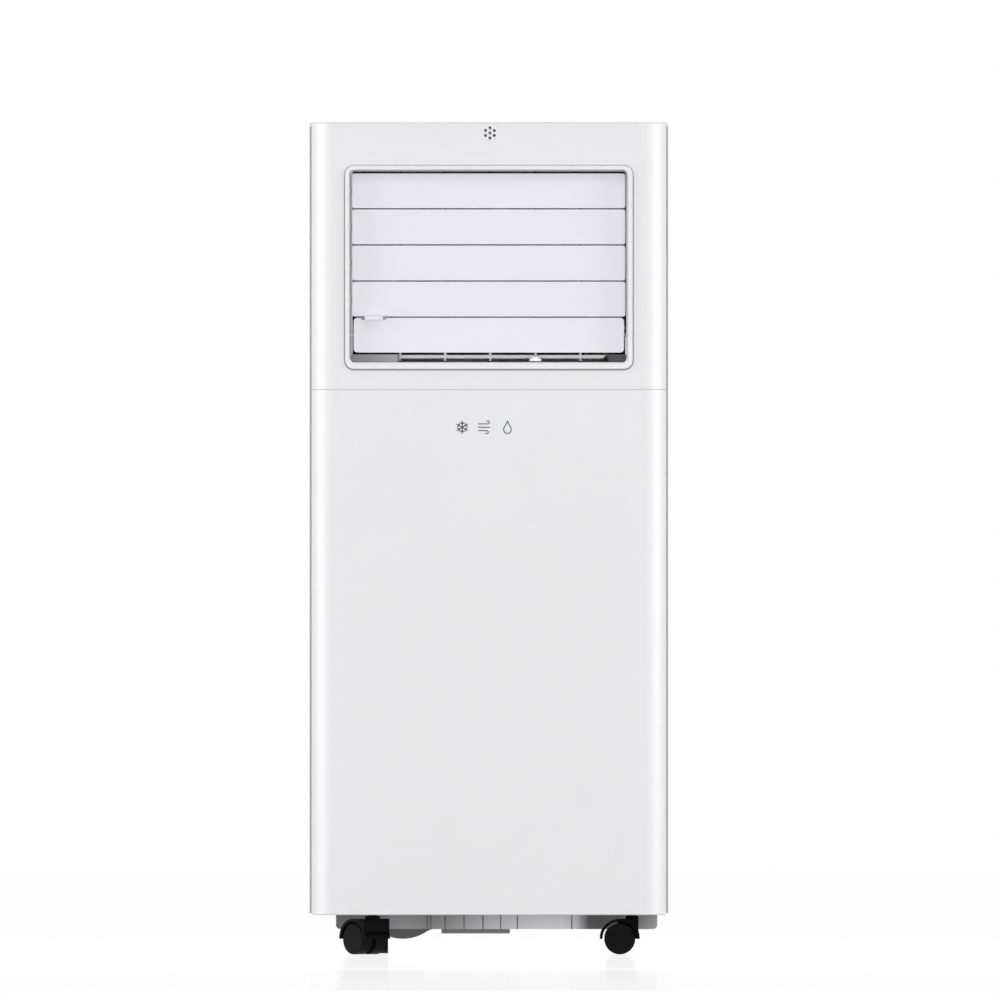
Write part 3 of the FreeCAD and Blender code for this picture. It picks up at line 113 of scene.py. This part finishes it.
# ---- front print ----
FRONT_Y = -159.0
PRINT_THICKNESS = 0.05
PRINT_Z = 445.5
PRINT_PLACES = (-22.5, -3.4, 15.7)
PRINT_SIZE = 5.2
PRINT_STROKE = 0.9
ROUND_END_STEPS = 8

# ---- lid print ----
BUTTON_TOP = 702.8
BUTTON_Y = -90.0
POWER_X = -48.0
POWER_SIZE = 3.2
MODE_X = -28.0
MODE_SIZE = 3.0
SPEED_X = 28.0
SPEED_SIZE = 3.4
ROCKER_X = 48.0
ROCKER_SIGN_REACH = 7.5
ROCKER_SIGN_SIZE = 1.8
ICON_STROKE = 0.5


# ---------------------------------------------------------------- materials


def new_material(name):
    """An empty node material: its nodes, links, shader and object coordinates."""
    material = bpy.data.materials.new(name)
    material.use_nodes = True
    tree = material.node_tree
    shader = tree.nodes["Principled BSDF"]
    place = tree.nodes.new("ShaderNodeTexCoord").outputs["Object"]
    return material, tree, shader, place


def noise(tree, place, size, detail=3.0, roughness=0.55, stretch=None):
    """Noise whose lumps are about size metres wide, optionally stretched along the axes."""
    if stretch:
        mapping = tree.nodes.new("ShaderNodeMapping")
        mapping.inputs["Scale"].default_value = stretch
        tree.links.new(place, mapping.inputs["Vector"])
        place = mapping.outputs["Vector"]
    node = tree.nodes.new("ShaderNodeTexNoise")
    node.inputs["Scale"].default_value = 1.0 / size
    node.inputs["Detail"].default_value = detail
    node.inputs["Roughness"].default_value = roughness
    tree.links.new(place, node.inputs["Vector"])
    return node.outputs["Fac"]


def spread(tree, value, low, high, start=0.3, end=0.7):
    """A value between start and end mapped to low and high."""
    node = tree.nodes.new("ShaderNodeMapRange")
    node.inputs["From Min"].default_value = start
    node.inputs["From Max"].default_value = end
    node.inputs["To Min"].default_value = low
    node.inputs["To Max"].default_value = high
    tree.links.new(value, node.inputs["Value"])
    return node.outputs["Result"]


def blend_colours(tree, factor, first, second):
    """Two colours, or colour outputs, mixed by a factor output."""
    node = tree.nodes.new("ShaderNodeMix")
    node.data_type = "RGBA"
    tree.links.new(factor, node.inputs["Factor"])
    for socket, colour in ((node.inputs["A"], first), (node.inputs["B"], second)):
        if isinstance(colour, bpy.types.NodeSocket):
            tree.links.new(colour, socket)
        else:
            socket.default_value = (*colour, 1.0)
    return node.outputs["Result"]


def bump(tree, shader, height, depth, below=None):
    """A bump of depth metres, laid over an earlier one."""
    node = tree.nodes.new("ShaderNodeBump")
    node.inputs["Distance"].default_value = depth
    tree.links.new(height, node.inputs["Height"])
    if below:
        tree.links.new(below, node.inputs["Normal"])
    tree.links.new(node.outputs["Normal"], shader.inputs["Normal"])
    return node.outputs["Normal"]


def scaled(colour, factor):
    """A colour made lighter or darker."""
    return tuple(min(1.0, channel * factor) for channel in colour)


def calculated(tree, operation, *values):
    """The result of a sum on outputs and numbers."""
    node = tree.nodes.new("ShaderNodeMath")
    node.operation = operation
    for socket, value in zip(node.inputs, values):
        if isinstance(value, bpy.types.NodeSocket):
            tree.links.new(value, socket)
        else:
            socket.default_value = value
    return node.outputs["Value"]


def coordinate(tree, axis, output="Object"):
    """The place, or with "Normal" the facing, of the surface along one axis."""
    split = tree.nodes.new("ShaderNodeSeparateXYZ")
    tree.links.new(tree.nodes.new("ShaderNodeTexCoord").outputs[output], split.inputs["Vector"])
    return split.outputs[axis]


def along(tree, axis, greys):
    """A grey that changes along an axis, as a colour output."""
    first, last = greys[0][0], greys[-1][0]
    share = spread(tree, coordinate(tree, axis), 0.0, 1.0, start=first * MM, end=last * MM)
    ramp = tree.nodes.new("ShaderNodeValToRGB")
    tree.links.new(share, ramp.inputs["Fac"])
    stops = ramp.color_ramp.elements
    while len(stops) < len(greys):
        stops.new(0.5)
    for stop, (millimetres, grey) in zip(stops, greys):
        stop.position = (millimetres - first) / (last - first)
        stop.color = (grey, grey, grey * BLUE_IN_GREYS, 1.0)
    return ramp.outputs["Color"]


def moulded(
    name,
    colour,
    rough,
    grain=GRAIN_SIZE,
    depth=GRAIN_DEPTH,
    drift=0.02,
    specular=0.5,
    coat=0.0,
    greys=None,
):
    """Moulded plastic: a fine grain, slow waviness, slight colour drift and uneven gloss; given greys, its
    tone follows them along X as painted light and shade.
    """
    material, tree, shader, place = new_material(name)
    slow = noise(tree, place, WAVE_SIZE, detail=2.0)
    fine = noise(tree, place, grain, detail=2.0)
    patches = noise(tree, place, PATCH_SIZE, detail=4.0)
    if greys:
        tone = along(tree, "X", greys)
    else:
        tone = blend_colours(
            tree, spread(tree, slow, 0.0, 1.0), scaled(colour, 1 - drift), scaled(colour, 1 + drift)
        )
    grained = spread(tree, fine, 0.0, GRAIN_STRENGTH)
    speck = blend_colours(tree, grained, tone, scaled(colour, GRAIN_SHADE))
    tree.links.new(speck, shader.inputs["Base Color"])
    gloss = spread(tree, patches, rough - GLOSS_DRIFT, rough + GLOSS_DRIFT)
    tree.links.new(gloss, shader.inputs["Roughness"])
    waviness = bump(tree, shader, slow, WAVE_DEPTH)
    bump(tree, shader, fine, depth, below=waviness)
    shader.inputs["Specular IOR Level"].default_value = specular
    shader.inputs["Coat Weight"].default_value = coat
    shader.inputs["Coat Roughness"].default_value = COAT_ROUGHNESS
    return material


def behind(tree, y, soft=0.3):
    """1 on what lies behind a place along Y in millimetres, and 0 on what lies in front."""
    return spread(tree, coordinate(tree, "Y"), 0.0, 1.0, start=(y - soft / 2) * MM, end=(y + soft / 2) * MM)


def ahead_of(tree, y, soft=0.3):
    """1 on what lies in front of a place along Y in millimetres, and 0 on what lies behind."""
    return calculated(tree, "SUBTRACT", 1.0, behind(tree, y, soft))


def tinted_where(material, mask, colour):
    """The material, turned to a colour or colour output where the mask is 1."""
    tree = material.node_tree
    base = tree.nodes["Principled BSDF"].inputs["Base Color"]
    skin = base.links[0].from_socket
    tree.links.new(blend_colours(tree, mask, skin, colour), base)
    return material


def shaded_where(material, mask, grey):
    """The material, turned to an even grey of painted shade where the mask is 1."""
    return tinted_where(material, mask, (grey, grey, grey))


def casing_skin(name):
    """The casing's white, half glossy."""
    return moulded(name, CASING_COLOUR, 0.34, drift=0.006)


def louvre_skin(name):
    """The blades' white, a little more matt than the casing."""
    return moulded(name, LOUVRE_COLOUR, 0.42, drift=0.008)


def side_skin(name):
    """The casing's white with painted shade on the front edge, for the side panels."""
    material = casing_skin(name)
    # Painted shade: the front edge face of each side panel is turned grey where the seam's shadow falls.
    edge = ahead_of(material.node_tree, SIDE_EDGE_Y)
    return shaded_where(material, edge, SIDE_EDGE_PAINTED_SHADE)


def upper_skin(name):
    """The casing's white with painted shade in the groove round the louvre frame and in the sound holes."""
    material = casing_skin(name)
    tree = material.node_tree
    across = calculated(tree, "ABSOLUTE", coordinate(tree, "X"))
    near_middle = calculated(tree, "LESS_THAN", across, PANEL_RECESS_HALF_WIDTH * MM)
    # Painted shade: faces set back behind the front are turned to the greys along Z.
    recess = calculated(tree, "MULTIPLY", behind(tree, PANEL_RECESS_Y, soft=0.2), near_middle)
    return tinted_where(material, recess, along(tree, "Z", PANEL_RECESS_PAINTED_SHADE))


def frame_skin(name):
    """The frame's gloss white, with painted shade on the bevel round the mouth except where it faces up."""
    material = moulded(name, FRAME_COLOUR, 0.26, depth=0.000006, drift=0.006, coat=0.2)
    tree = material.node_tree
    not_up = spread(tree, coordinate(tree, "Z", "Normal"), 1.0, 0.0, start=0.0, end=0.5)
    # Painted shade: the bevel is turned grey where it faces sideways or down.
    bevel = calculated(tree, "MULTIPLY", behind(tree, BEVEL_Y), not_up)
    return shaded_where(material, bevel, BEVEL_PAINTED_SHADE)


def tab_skin(name):
    """The blades' white with painted shade on the slanted sides of the finger tab."""
    material = louvre_skin(name)
    tree = material.node_tree
    sideways = calculated(tree, "ABSOLUTE", coordinate(tree, "X", "Normal"))
    # Painted shade: the sideways faces of the tab are turned grey.
    sides = calculated(tree, "MULTIPLY", ahead_of(tree, TAB_BACK_Y, soft=0.2), sideways)
    return shaded_where(material, sides, TAB_EDGE_PAINTED_SHADE)


def vane_skin(name):
    """White vane plastic with painted shade behind the feet."""
    material = moulded(name, VANE_COLOUR, 0.4, drift=0.02)
    # Painted shade: the vanes turn dark behind the feet, deeper in the duct.
    shade = behind(material.node_tree, VANE_SHADE_Y, soft=3.0)
    return shaded_where(material, shade, VANE_PAINTED_SHADE)


def pan_skin(name):
    """The base's grey with painted light and shade along X, and painted shade in the grooves."""
    material = moulded(name, PAN_COLOUR, 0.55, grain=0.0012, depth=0.00005, greys=PAN_PAINTED_LIGHT_AND_SHADE)
    tree = material.node_tree
    inside = behind(tree, PAN_GROOVE_Y, soft=0.2)
    # Painted shade: the groove floors just behind the base's front face are turned dark.
    groove = calculated(tree, "MULTIPLY", inside, ahead_of(tree, PAN_GROOVE_END_Y, soft=0.2))
    return shaded_where(material, groove, PAN_GROOVE_PAINTED_SHADE)


def rubbery(name, colour, rough, dust, specular=0.5):
    """Rubber or tyre plastic, matt, with dust in patches and a fine pitted skin."""
    material, tree, shader, place = new_material(name)
    patches = noise(tree, place, 0.006, detail=6.0, roughness=0.7)
    pits = noise(tree, place, 0.0006, detail=2.0)
    dusty = spread(tree, patches, 0.0, dust, start=0.5, end=0.8)
    tone = blend_colours(tree, dusty, colour, DUST_COLOUR)
    tree.links.new(tone, shader.inputs["Base Color"])
    tree.links.new(spread(tree, patches, rough - 0.06, rough + 0.1), shader.inputs["Roughness"])
    bump(tree, shader, pits, depth=0.00004)
    shader.inputs["Specular IOR Level"].default_value = specular
    return material


def metal(name, colour, rough, streak=(1.0, 1.0, 12.0), metallic=1.0, grain=0.002, tarnish=0.12):
    """Drawn, rolled or cast metal with streaks along one axis and faint tarnish."""
    material, tree, shader, place = new_material(name)
    streaks = noise(tree, place, grain, detail=4.0, stretch=streak)
    stains = noise(tree, place, 0.02, detail=5.0, roughness=0.65)
    stained = spread(tree, stains, 0.0, 1.0)
    tone = blend_colours(tree, stained, scaled(colour, 1 - tarnish), scaled(colour, 1.05))
    tree.links.new(tone, shader.inputs["Base Color"])
    tree.links.new(spread(tree, streaks, rough - 0.08, rough + 0.1), shader.inputs["Roughness"])
    shader.inputs["Metallic"].default_value = metallic
    bump(tree, shader, streaks, depth=0.00002)
    return material


def banded(tree, place, axis, pitch):
    """Even bands across an axis, as a 0 to 1 value."""
    node = tree.nodes.new("ShaderNodeTexWave")
    node.wave_type = "BANDS"
    node.bands_direction = axis
    node.wave_profile = "SIN"
    node.inputs["Scale"].default_value = 2 * math.pi / (BAND_TURN * pitch)
    tree.links.new(place, node.inputs["Vector"])
    return node.outputs["Fac"]


def finned(name, colour, pitch):
    """A block of thin upright aluminium fins, with painted shade in the gaps between them."""
    material, tree, shader, place = new_material(name)
    bands = banded(tree, place, "X", pitch)
    stains = noise(tree, place, 0.03, detail=4.0)
    fins = spread(tree, bands, 0.0, 1.0, start=0.2, end=0.8)
    # Painted shade: the gaps between the fins are drawn at a quarter of the fins' brightness.
    tone = blend_colours(tree, fins, scaled(colour, 0.25), colour)
    tree.links.new(tone, shader.inputs["Base Color"])
    tree.links.new(spread(tree, stains, 0.3, 0.5), shader.inputs["Roughness"])
    shader.inputs["Metallic"].default_value = 0.9
    bump(tree, shader, bands, depth=0.0006)
    return material


def woven(name, colour, pitch):
    """A fine nylon mesh of crossed threads."""
    material, tree, shader, place = new_material(name)
    threads = calculated(
        tree, "MAXIMUM", banded(tree, place, "X", pitch), banded(tree, place, "Z", pitch)
    )
    lint = noise(tree, place, 0.012, detail=5.0)
    weave = spread(tree, threads, 0.0, 1.0, start=0.4, end=0.9)
    cloth = blend_colours(tree, weave, scaled(colour, 0.25), colour)
    linty = spread(tree, lint, 0.0, 0.25, start=0.5, end=0.8)
    tree.links.new(blend_colours(tree, linty, cloth, LINT_COLOUR), shader.inputs["Base Color"])
    tree.links.new(spread(tree, lint, 0.6, 0.8), shader.inputs["Roughness"])
    bump(tree, shader, threads, depth=0.0002)
    return material


def circuit_board(name):
    """Green solder mask with copper traces showing through."""
    material, tree, shader, place = new_material(name)
    cells = tree.nodes.new("ShaderNodeTexBrick")
    cells.inputs["Scale"].default_value = 90.0
    cells.inputs["Mortar Size"].default_value = 0.03
    cells.inputs["Color1"].default_value = (0.015, 0.14, 0.05, 1.0)
    cells.inputs["Color2"].default_value = (0.02, 0.18, 0.07, 1.0)
    cells.inputs["Mortar"].default_value = (0.05, 0.30, 0.10, 1.0)
    tree.links.new(place, cells.inputs["Vector"])
    grime = noise(tree, place, 0.01)
    tree.links.new(cells.outputs["Color"], shader.inputs["Base Color"])
    tree.links.new(spread(tree, grime, 0.25, 0.45), shader.inputs["Roughness"])
    bump(tree, shader, cells.outputs["Fac"], depth=0.00005)
    return material


def foam(name, colour, pearl=0.004):
    """Expanded foam with its pattern of pearls, as wide as pearl metres."""
    material, tree, shader, place = new_material(name)
    pearls = tree.nodes.new("ShaderNodeTexVoronoi")
    pearls.inputs["Scale"].default_value = 1 / pearl
    tree.links.new(place, pearls.inputs["Vector"])
    distance = pearls.outputs["Distance"]
    pearly = spread(tree, distance, 0.0, 1.0, start=0.2, end=0.8)
    tone = blend_colours(tree, pearly, colour, scaled(colour, 0.8))
    tree.links.new(tone, shader.inputs["Base Color"])
    tree.links.new(spread(tree, distance, 0.75, 0.95), shader.inputs["Roughness"])
    bump(tree, shader, distance, depth=0.0003)
    return material


def tinted_window(name):
    """Smoked clear plastic over the display."""
    material, tree, shader, place = new_material(name)
    smudges = noise(tree, place, 0.004, detail=5.0)
    tone = blend_colours(tree, spread(tree, smudges, 0.0, 1.0), (0.010, 0.010, 0.012), (0.016, 0.016, 0.019))
    tree.links.new(tone, shader.inputs["Base Color"])
    tree.links.new(spread(tree, smudges, 0.04, 0.12), shader.inputs["Roughness"])
    shader.inputs["Specular IOR Level"].default_value = 0.6
    return material


def all_materials():
    """Every finish of the object, by the name of its material slot."""
    return {
        "casing_white": casing_skin("casing_white"),
        "louvre_white": louvre_skin("louvre_white"),
        "frame_white": frame_skin("frame_white"),
        # The duct's greys along X are painted light and shade.
        "duct_grey": moulded("duct_grey", (0.22, 0.225, 0.235), 0.55, specular=0.3, greys=DUCT_PAINTED_LIGHT_AND_SHADE),
        "link_white": vane_skin("link_white"),
        "grille_white": moulded("grille_white", (0.74, 0.74, 0.752), 0.45, drift=0.02),
        "control_black": moulded(
            "control_black", (0.012, 0.012, 0.014), 0.12, depth=0.000002, drift=0.1, specular=0.6, coat=0.5
        ),
        "button_grey": moulded("button_grey", (0.62, 0.62, 0.64), 0.38, grain=0.0005, drift=0.03),
        "pan_grey": pan_skin("pan_grey"),
        "sump_dark": moulded("sump_dark", (0.16, 0.16, 0.165), 0.6, grain=0.0012, depth=0.00005, drift=0.1),
        "stiffener_grey": metal("stiffener_grey", (0.20, 0.20, 0.21), 0.5, metallic=0.3),
        "caster_black": moulded(
            "caster_black", (0.002, 0.002, 0.0022), 0.34, depth=0.00003, drift=0.1, specular=0.04
        ),
        "blower_plastic": moulded("blower_plastic", (0.05, 0.05, 0.055), 0.5, drift=0.1),
        "tray_white": moulded("tray_white", (0.62, 0.62, 0.63), 0.5, drift=0.05),
        "wheel_black": rubbery("wheel_black", (0.006, 0.006, 0.0064), 0.4, 0.02, specular=0.04),
        "gland_rubber": rubbery("gland_rubber", (0.03, 0.03, 0.032), 0.7, 0.10),
        "plug_rubber": rubbery("plug_rubber", (0.55, 0.55, 0.57), 0.6, 0.06),
        "screw_steel": metal("screw_steel", (0.55, 0.55, 0.57), 0.3, streak=(1.0, 8.0, 1.0)),
        "motor_steel": metal("motor_steel", (0.50, 0.50, 0.52), 0.35),
        "compressor_black": metal("compressor_black", (0.02, 0.02, 0.022), 0.25, metallic=0.0),
        "pipe_copper": metal("pipe_copper", (0.80, 0.42, 0.26), 0.25, tarnish=0.3),
        "box_zinc": metal("box_zinc", (0.58, 0.59, 0.61), 0.4, tarnish=0.2, grain=0.006),
        "scroll_foam": foam("scroll_foam", (0.78, 0.78, 0.76)),
        "fin_aluminium": finned("fin_aluminium", (0.75, 0.77, 0.80), 0.0018),
        "filter_mesh": woven("filter_mesh", (0.09, 0.095, 0.11), 0.0012),
        "board_green": circuit_board("board_green"),
        "window_clear": tinted_window("window_clear"),
    }


def dress(nodes, record, finishes):
    """Gives each CAD node the finish of its material slot, or its own variant of it with painted shade."""
    slots = {part["node"]: part["material_slot"] for part in record["subparts"]}
    side = side_skin("side_white")
    special = {
        "side_panel_left": side,
        "side_panel_right": side,
        "front_upper_panel": upper_skin("upper_white"),
        "louvre_blade_4": tab_skin("tab_white"),
    }
    for name, piece in nodes.items():
        piece.data.materials.clear()
        piece.data.materials.append(special.get(name, finishes[slots[name]]))


# ---------------------------------------------------------------- objects


def placed(name, data):
    """A new object in the scene."""
    thing = bpy.data.objects.new(name, data)
    bpy.context.scene.collection.objects.link(thing)
    return thing


def placed_mesh(name, mesh):
    """A new object in the scene with the shape of a working mesh, which is freed."""
    data = bpy.data.meshes.new(name)
    mesh.to_mesh(data)
    mesh.free()
    return placed(name, data)


# ---------------------------------------------------------------- printed marks


class Sheet:
    """Collects flat outlines on a plane and lifts them into one thin printed piece."""

    def __init__(self, name, across, up, out, thickness):
        self.name = name
        self.across = Vector(across)
        self.up = Vector(up)
        self.out = Vector(out)
        self.thickness = thickness
        self.mesh = bmesh.new()

    def outline(self, centre, points):
        """A filled outline in millimetres across and up from a centre, as a thin slab open below."""
        base = []
        top = []
        for across, up in points:
            spot = Vector(centre) + self.across * across + self.up * up
            base.append(self.mesh.verts.new(spot * MM))
            top.append(self.mesh.verts.new((spot + self.out * self.thickness) * MM))
        self.mesh.faces.new(top)
        count = len(points)
        for index in range(count):
            after = (index + 1) % count
            self.mesh.faces.new((base[index], base[after], top[after], top[index]))

    def bar(self, centre, start, end, stroke):
        """A straight stroke with round ends."""
        (x0, y0), (x1, y1) = start, end
        angle = math.atan2(y1 - y0, x1 - x0)
        points = []
        for (x, y), facing in ((end, angle), (start, angle + math.pi)):
            for step in range(ROUND_END_STEPS + 1):
                turn = facing + (step - ROUND_END_STEPS / 2) * math.pi / ROUND_END_STEPS
                points.append((x + stroke / 2 * math.cos(turn), y + stroke / 2 * math.sin(turn)))
        self.outline(centre, points)

    def arc(self, centre, radius, start, end, stroke, steps=28):
        """A curved stroke between two angles in degrees."""
        turns = [math.radians(start + (end - start) * step / steps) for step in range(steps + 1)]
        for first, second in zip(turns, turns[1:]):
            inner, outer = radius - stroke / 2, radius + stroke / 2
            self.outline(centre, [
                (inner * math.cos(first), inner * math.sin(first)),
                (outer * math.cos(first), outer * math.sin(first)),
                (outer * math.cos(second), outer * math.sin(second)),
                (inner * math.cos(second), inner * math.sin(second)),
            ])

    def piece(self, material, body, slot):
        """Turns what was collected into one printed piece that rides on a body."""
        bmesh.ops.recalc_face_normals(self.mesh, faces=self.mesh.faces)
        thing = placed_mesh(self.name, self.mesh)
        thing.data.materials.append(material)
        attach(thing, body)


def snowflake(sheet, centre, size, stroke):
    """Six arms, each with a pair of twigs."""
    fork_share = 0.52
    twig_share = 0.36
    twig_lean = math.radians(52)
    for arm in range(6):
        turn = math.radians(90 + arm * 60)
        tip = (size * math.cos(turn), size * math.sin(turn))
        sheet.bar(centre, (0.0, 0.0), tip, stroke)
        fork_x, fork_y = fork_share * tip[0], fork_share * tip[1]
        for side in (-1, 1):
            lean = turn + side * twig_lean
            twig_x = fork_x + twig_share * size * math.cos(lean)
            twig_y = fork_y + twig_share * size * math.sin(lean)
            sheet.bar(centre, (fork_x, fork_y), (twig_x, twig_y), stroke)


def breeze(sheet, centre, size, stroke):
    """Three level strokes of air, the outer two curling at the end."""
    curl = 0.24 * size
    for level, length, side in ((0.55, 0.8, 1), (0.0, 1.1, 0), (-0.55, 0.6, -1)):
        end = length * size - size * 0.3
        sheet.bar(centre, (-size, level * size), (end, level * size), stroke)
        if side:
            hub = Vector(centre) + sheet.across * end + sheet.up * (level * size + side * curl)
            sheet.arc(hub, curl, -90 * side, 150 * side, stroke)


def drop(sheet, centre, size, stroke):
    """A water drop drawn as a line: a round belly that runs up to a point from both shoulders."""
    belly = 0.62 * size
    shoulder = 35
    low = Vector(centre) - sheet.up * (size - belly)
    sheet.arc(low, belly, -180 - shoulder, shoulder, stroke)
    for side in (-1, 1):
        turn = math.radians(shoulder)
        foot = (side * belly * math.cos(turn), belly * math.sin(turn) - (size - belly))
        sheet.bar(centre, foot, (0.0, size), stroke)


def propeller(sheet, centre, size, stroke):
    """Three curved fan blades round a hub."""
    hub_radius = 0.22 * size
    reach = 0.62 * size
    blade_radius = 0.34 * size
    sheet.arc(centre, hub_radius, 0, 360, stroke)
    for blade in range(3):
        turn = math.radians(90 + blade * 120)
        middle = Vector(centre) + sheet.across * (reach * math.cos(turn))
        middle = middle + sheet.up * (reach * math.sin(turn))
        sheet.arc(middle, blade_radius, blade * 120, 250 + blade * 120, stroke)


def power_ring(sheet, centre, size, stroke):
    """A ring open at the top, with an upright stroke in the gap."""
    sheet.arc(centre, 0.75 * size, 120, 420, stroke)
    sheet.bar(centre, (0.0, 0.25 * size), (0.0, size), stroke)


def front_print(material):
    """Three small grey signs under the seam: cooling, air and drying."""
    sheet = Sheet("front_signs", (1, 0, 0), (0, 0, 1), (0, -1, 0), PRINT_THICKNESS)
    for x, sign in zip(PRINT_PLACES, (snowflake, breeze, drop)):
        sign(sheet, (x, FRONT_Y, PRINT_Z), PRINT_SIZE, PRINT_STROKE)
    sheet.piece(material, "cabinet", "duct_grey")


def key_sheet(name):
    """A sheet that lies level on the tops of the keys."""
    return Sheet(name, (1, 0, 0), (0, 1, 0), (0, 0, 1), PRINT_THICKNESS)


def lid_prints(material):
    """Signs on the keys: power, cooling mode, fan speed, and more and less on the rocker."""
    for name, body, x, sign, size in (
        ("power_sign", "power_key", POWER_X, power_ring, POWER_SIZE),
        ("mode_sign", "mode_key", MODE_X, snowflake, MODE_SIZE),
        ("speed_sign", "speed_key", SPEED_X, propeller, SPEED_SIZE),
    ):
        sheet = key_sheet(name)
        sign(sheet, (x, BUTTON_Y, BUTTON_TOP), size, ICON_STROKE)
        sheet.piece(material, body, "control_black")

    rocker = key_sheet("temperature_signs")
    more = (ROCKER_X, BUTTON_Y + ROCKER_SIGN_REACH, BUTTON_TOP)
    less = (ROCKER_X, BUTTON_Y - ROCKER_SIGN_REACH, BUTTON_TOP)
    for centre in (more, less):
        rocker.bar(centre, (-ROCKER_SIGN_SIZE, 0.0), (ROCKER_SIGN_SIZE, 0.0), ICON_STROKE)
    rocker.bar(more, (0.0, -ROCKER_SIGN_SIZE), (0.0, ROCKER_SIGN_SIZE), ICON_STROKE)
    rocker.piece(material, "temperature_key", "control_black")


# ---------------------------------------------------------------- studio


def bare_material(name):
    """A material with nothing but its output: the material, its nodes and the surface input."""
    material = bpy.data.materials.new(name)
    material.use_nodes = True
    tree = material.node_tree
    tree.nodes.clear()
    surface = tree.nodes.new("ShaderNodeOutputMaterial").inputs["Surface"]
    return material, tree, surface


def glowing(tree, strength):
    """The output of a white glow."""
    glow = tree.nodes.new("ShaderNodeEmission")
    glow.inputs["Strength"].default_value = strength
    return glow.outputs["Emission"]


def mixed(tree, share, first, second):
    """Two shader outputs mixed, with a share of the second."""
    mix = tree.nodes.new("ShaderNodeMixShader")
    mix.inputs["Fac"].default_value = share
    tree.links.new(first, mix.inputs[1])
    tree.links.new(second, mix.inputs[2])
    return mix.outputs["Shader"]


def floor_material():
    """A glowing white with a faint reflection."""
    material, tree, surface = bare_material("studio_floor")
    matt = tree.nodes.new("ShaderNodeBsdfDiffuse")
    matt.inputs["Color"].default_value = (*FLOOR_COLOUR, 1.0)
    gloss = tree.nodes.new("ShaderNodeBsdfGlossy")
    gloss.inputs["Color"].default_value = (1.0, 1.0, 1.0, 1.0)
    gloss.inputs["Roughness"].default_value = FLOOR_GLOSS_ROUGHNESS
    lift = mixed(tree, FLOOR_GLOW_SHARE, matt.outputs["BSDF"], glowing(tree, FLOOR_GLOW))
    tree.links.new(mixed(tree, FLOOR_GLOSS_SHARE, lift, gloss.outputs["BSDF"]), surface)
    return material


def studio_floor():
    """A level white floor, seen by the camera and in reflections, that casts no shadow."""
    mesh = bmesh.new()
    reach = FLOOR_SIDE / 2
    corners = ((-reach, -reach), (reach, -reach), (reach, reach), (-reach, reach))
    mesh.faces.new([mesh.verts.new((x, y, 0.0)) for x, y in corners])
    floor = placed_mesh("studio_floor", mesh)
    floor.data.materials.append(floor_material())
    floor.visible_diffuse = False
    floor.visible_shadow = False
    return floor


def backdrop():
    """A white surround, seen by the camera and in reflections only."""
    mesh = bmesh.new()
    bmesh.ops.create_icosphere(mesh, subdivisions=BACKDROP_ROUNDNESS, radius=BACKDROP_RADIUS)
    surround = placed_mesh("backdrop", mesh)
    material, tree, surface = bare_material("backdrop")
    tree.links.new(glowing(tree, BACKDROP_GLOW), surface)
    surround.data.materials.append(material)
    surround.visible_diffuse = False
    surround.visible_transmission = False
    surround.visible_shadow = False
    return surround


def soft_box(name, angle, distance, height, aim_height, size, watts, in_reflections):
    """A rectangular light at an angle from the front, aimed at the object's upright axis."""
    data = bpy.data.lights.new(name, "AREA")
    data.shape = "RECTANGLE"
    data.size, data.size_y = size
    data.energy = watts
    lamp = placed(name, data)
    turn = math.radians(angle)
    lamp.location = (distance * math.sin(turn), -distance * math.cos(turn), height)
    aim = Vector((0.0, 0.0, aim_height)) - lamp.location
    lamp.rotation_mode = "QUATERNION"
    lamp.rotation_quaternion = aim.to_track_quat("-Z", "Y")
    lamp.visible_camera = False
    lamp.visible_glossy = in_reflections


def sky():
    """White light from all round that is stronger from the front and a little from above."""
    world = bpy.data.worlds.new("studio")
    world.use_nodes = True
    tree = world.node_tree
    background = tree.nodes["Background"]
    background.inputs["Color"].default_value = (1.0, 1.0, 1.0, 1.0)
    ahead = coordinate(tree, "Y", "Generated")
    above = coordinate(tree, "Z", "Generated")
    level = calculated(tree, "MULTIPLY_ADD", ahead, -SKY_FRONT_GAIN, SKY_LEVEL)
    level = calculated(tree, "MULTIPLY_ADD", above, SKY_TOP_GAIN, level)
    tree.links.new(calculated(tree, "MAXIMUM", level, SKY_LEAST), background.inputs["Strength"])
    bpy.context.scene.world = world


def studio():
    """Sky light, soft boxes, the floor and the surround."""
    sky()
    for facts in SOFT_BOXES:
        soft_box(*facts)
    studio_floor()
    backdrop()


def camera():
    """A parallel view of the front that points down by a slight tilt."""
    data = bpy.data.cameras.new("camera")
    data.type = "ORTHO"
    data.ortho_scale = VIEW_WIDTH
    data.clip_start = CAMERA_NEAR
    data.clip_end = CAMERA_FAR
    thing = placed("camera", data)
    thing.location = (
        CAMERA_AIM_X,
        -CAMERA_DISTANCE * math.cos(CAMERA_TILT),
        CAMERA_AIM_Z + CAMERA_DISTANCE * math.sin(CAMERA_TILT),
    )
    thing.rotation_euler = (math.pi / 2 - CAMERA_TILT, 0.0, 0.0)
    bpy.context.scene.camera = thing


with open("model.json") as file:
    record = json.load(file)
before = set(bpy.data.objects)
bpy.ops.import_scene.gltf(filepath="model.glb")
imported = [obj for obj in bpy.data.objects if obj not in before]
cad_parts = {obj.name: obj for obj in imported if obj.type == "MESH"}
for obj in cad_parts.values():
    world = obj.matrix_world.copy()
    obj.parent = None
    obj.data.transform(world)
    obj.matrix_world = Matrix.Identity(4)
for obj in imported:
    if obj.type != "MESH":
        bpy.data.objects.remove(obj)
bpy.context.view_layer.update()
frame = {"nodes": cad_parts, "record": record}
finishes = all_materials()
dress(frame["nodes"], frame["record"], finishes)
front_print(finishes["duct_grey"])
lid_prints(finishes["control_black"])
studio()
camera()
bpy.context.scene.view_settings.view_transform = "Standard"
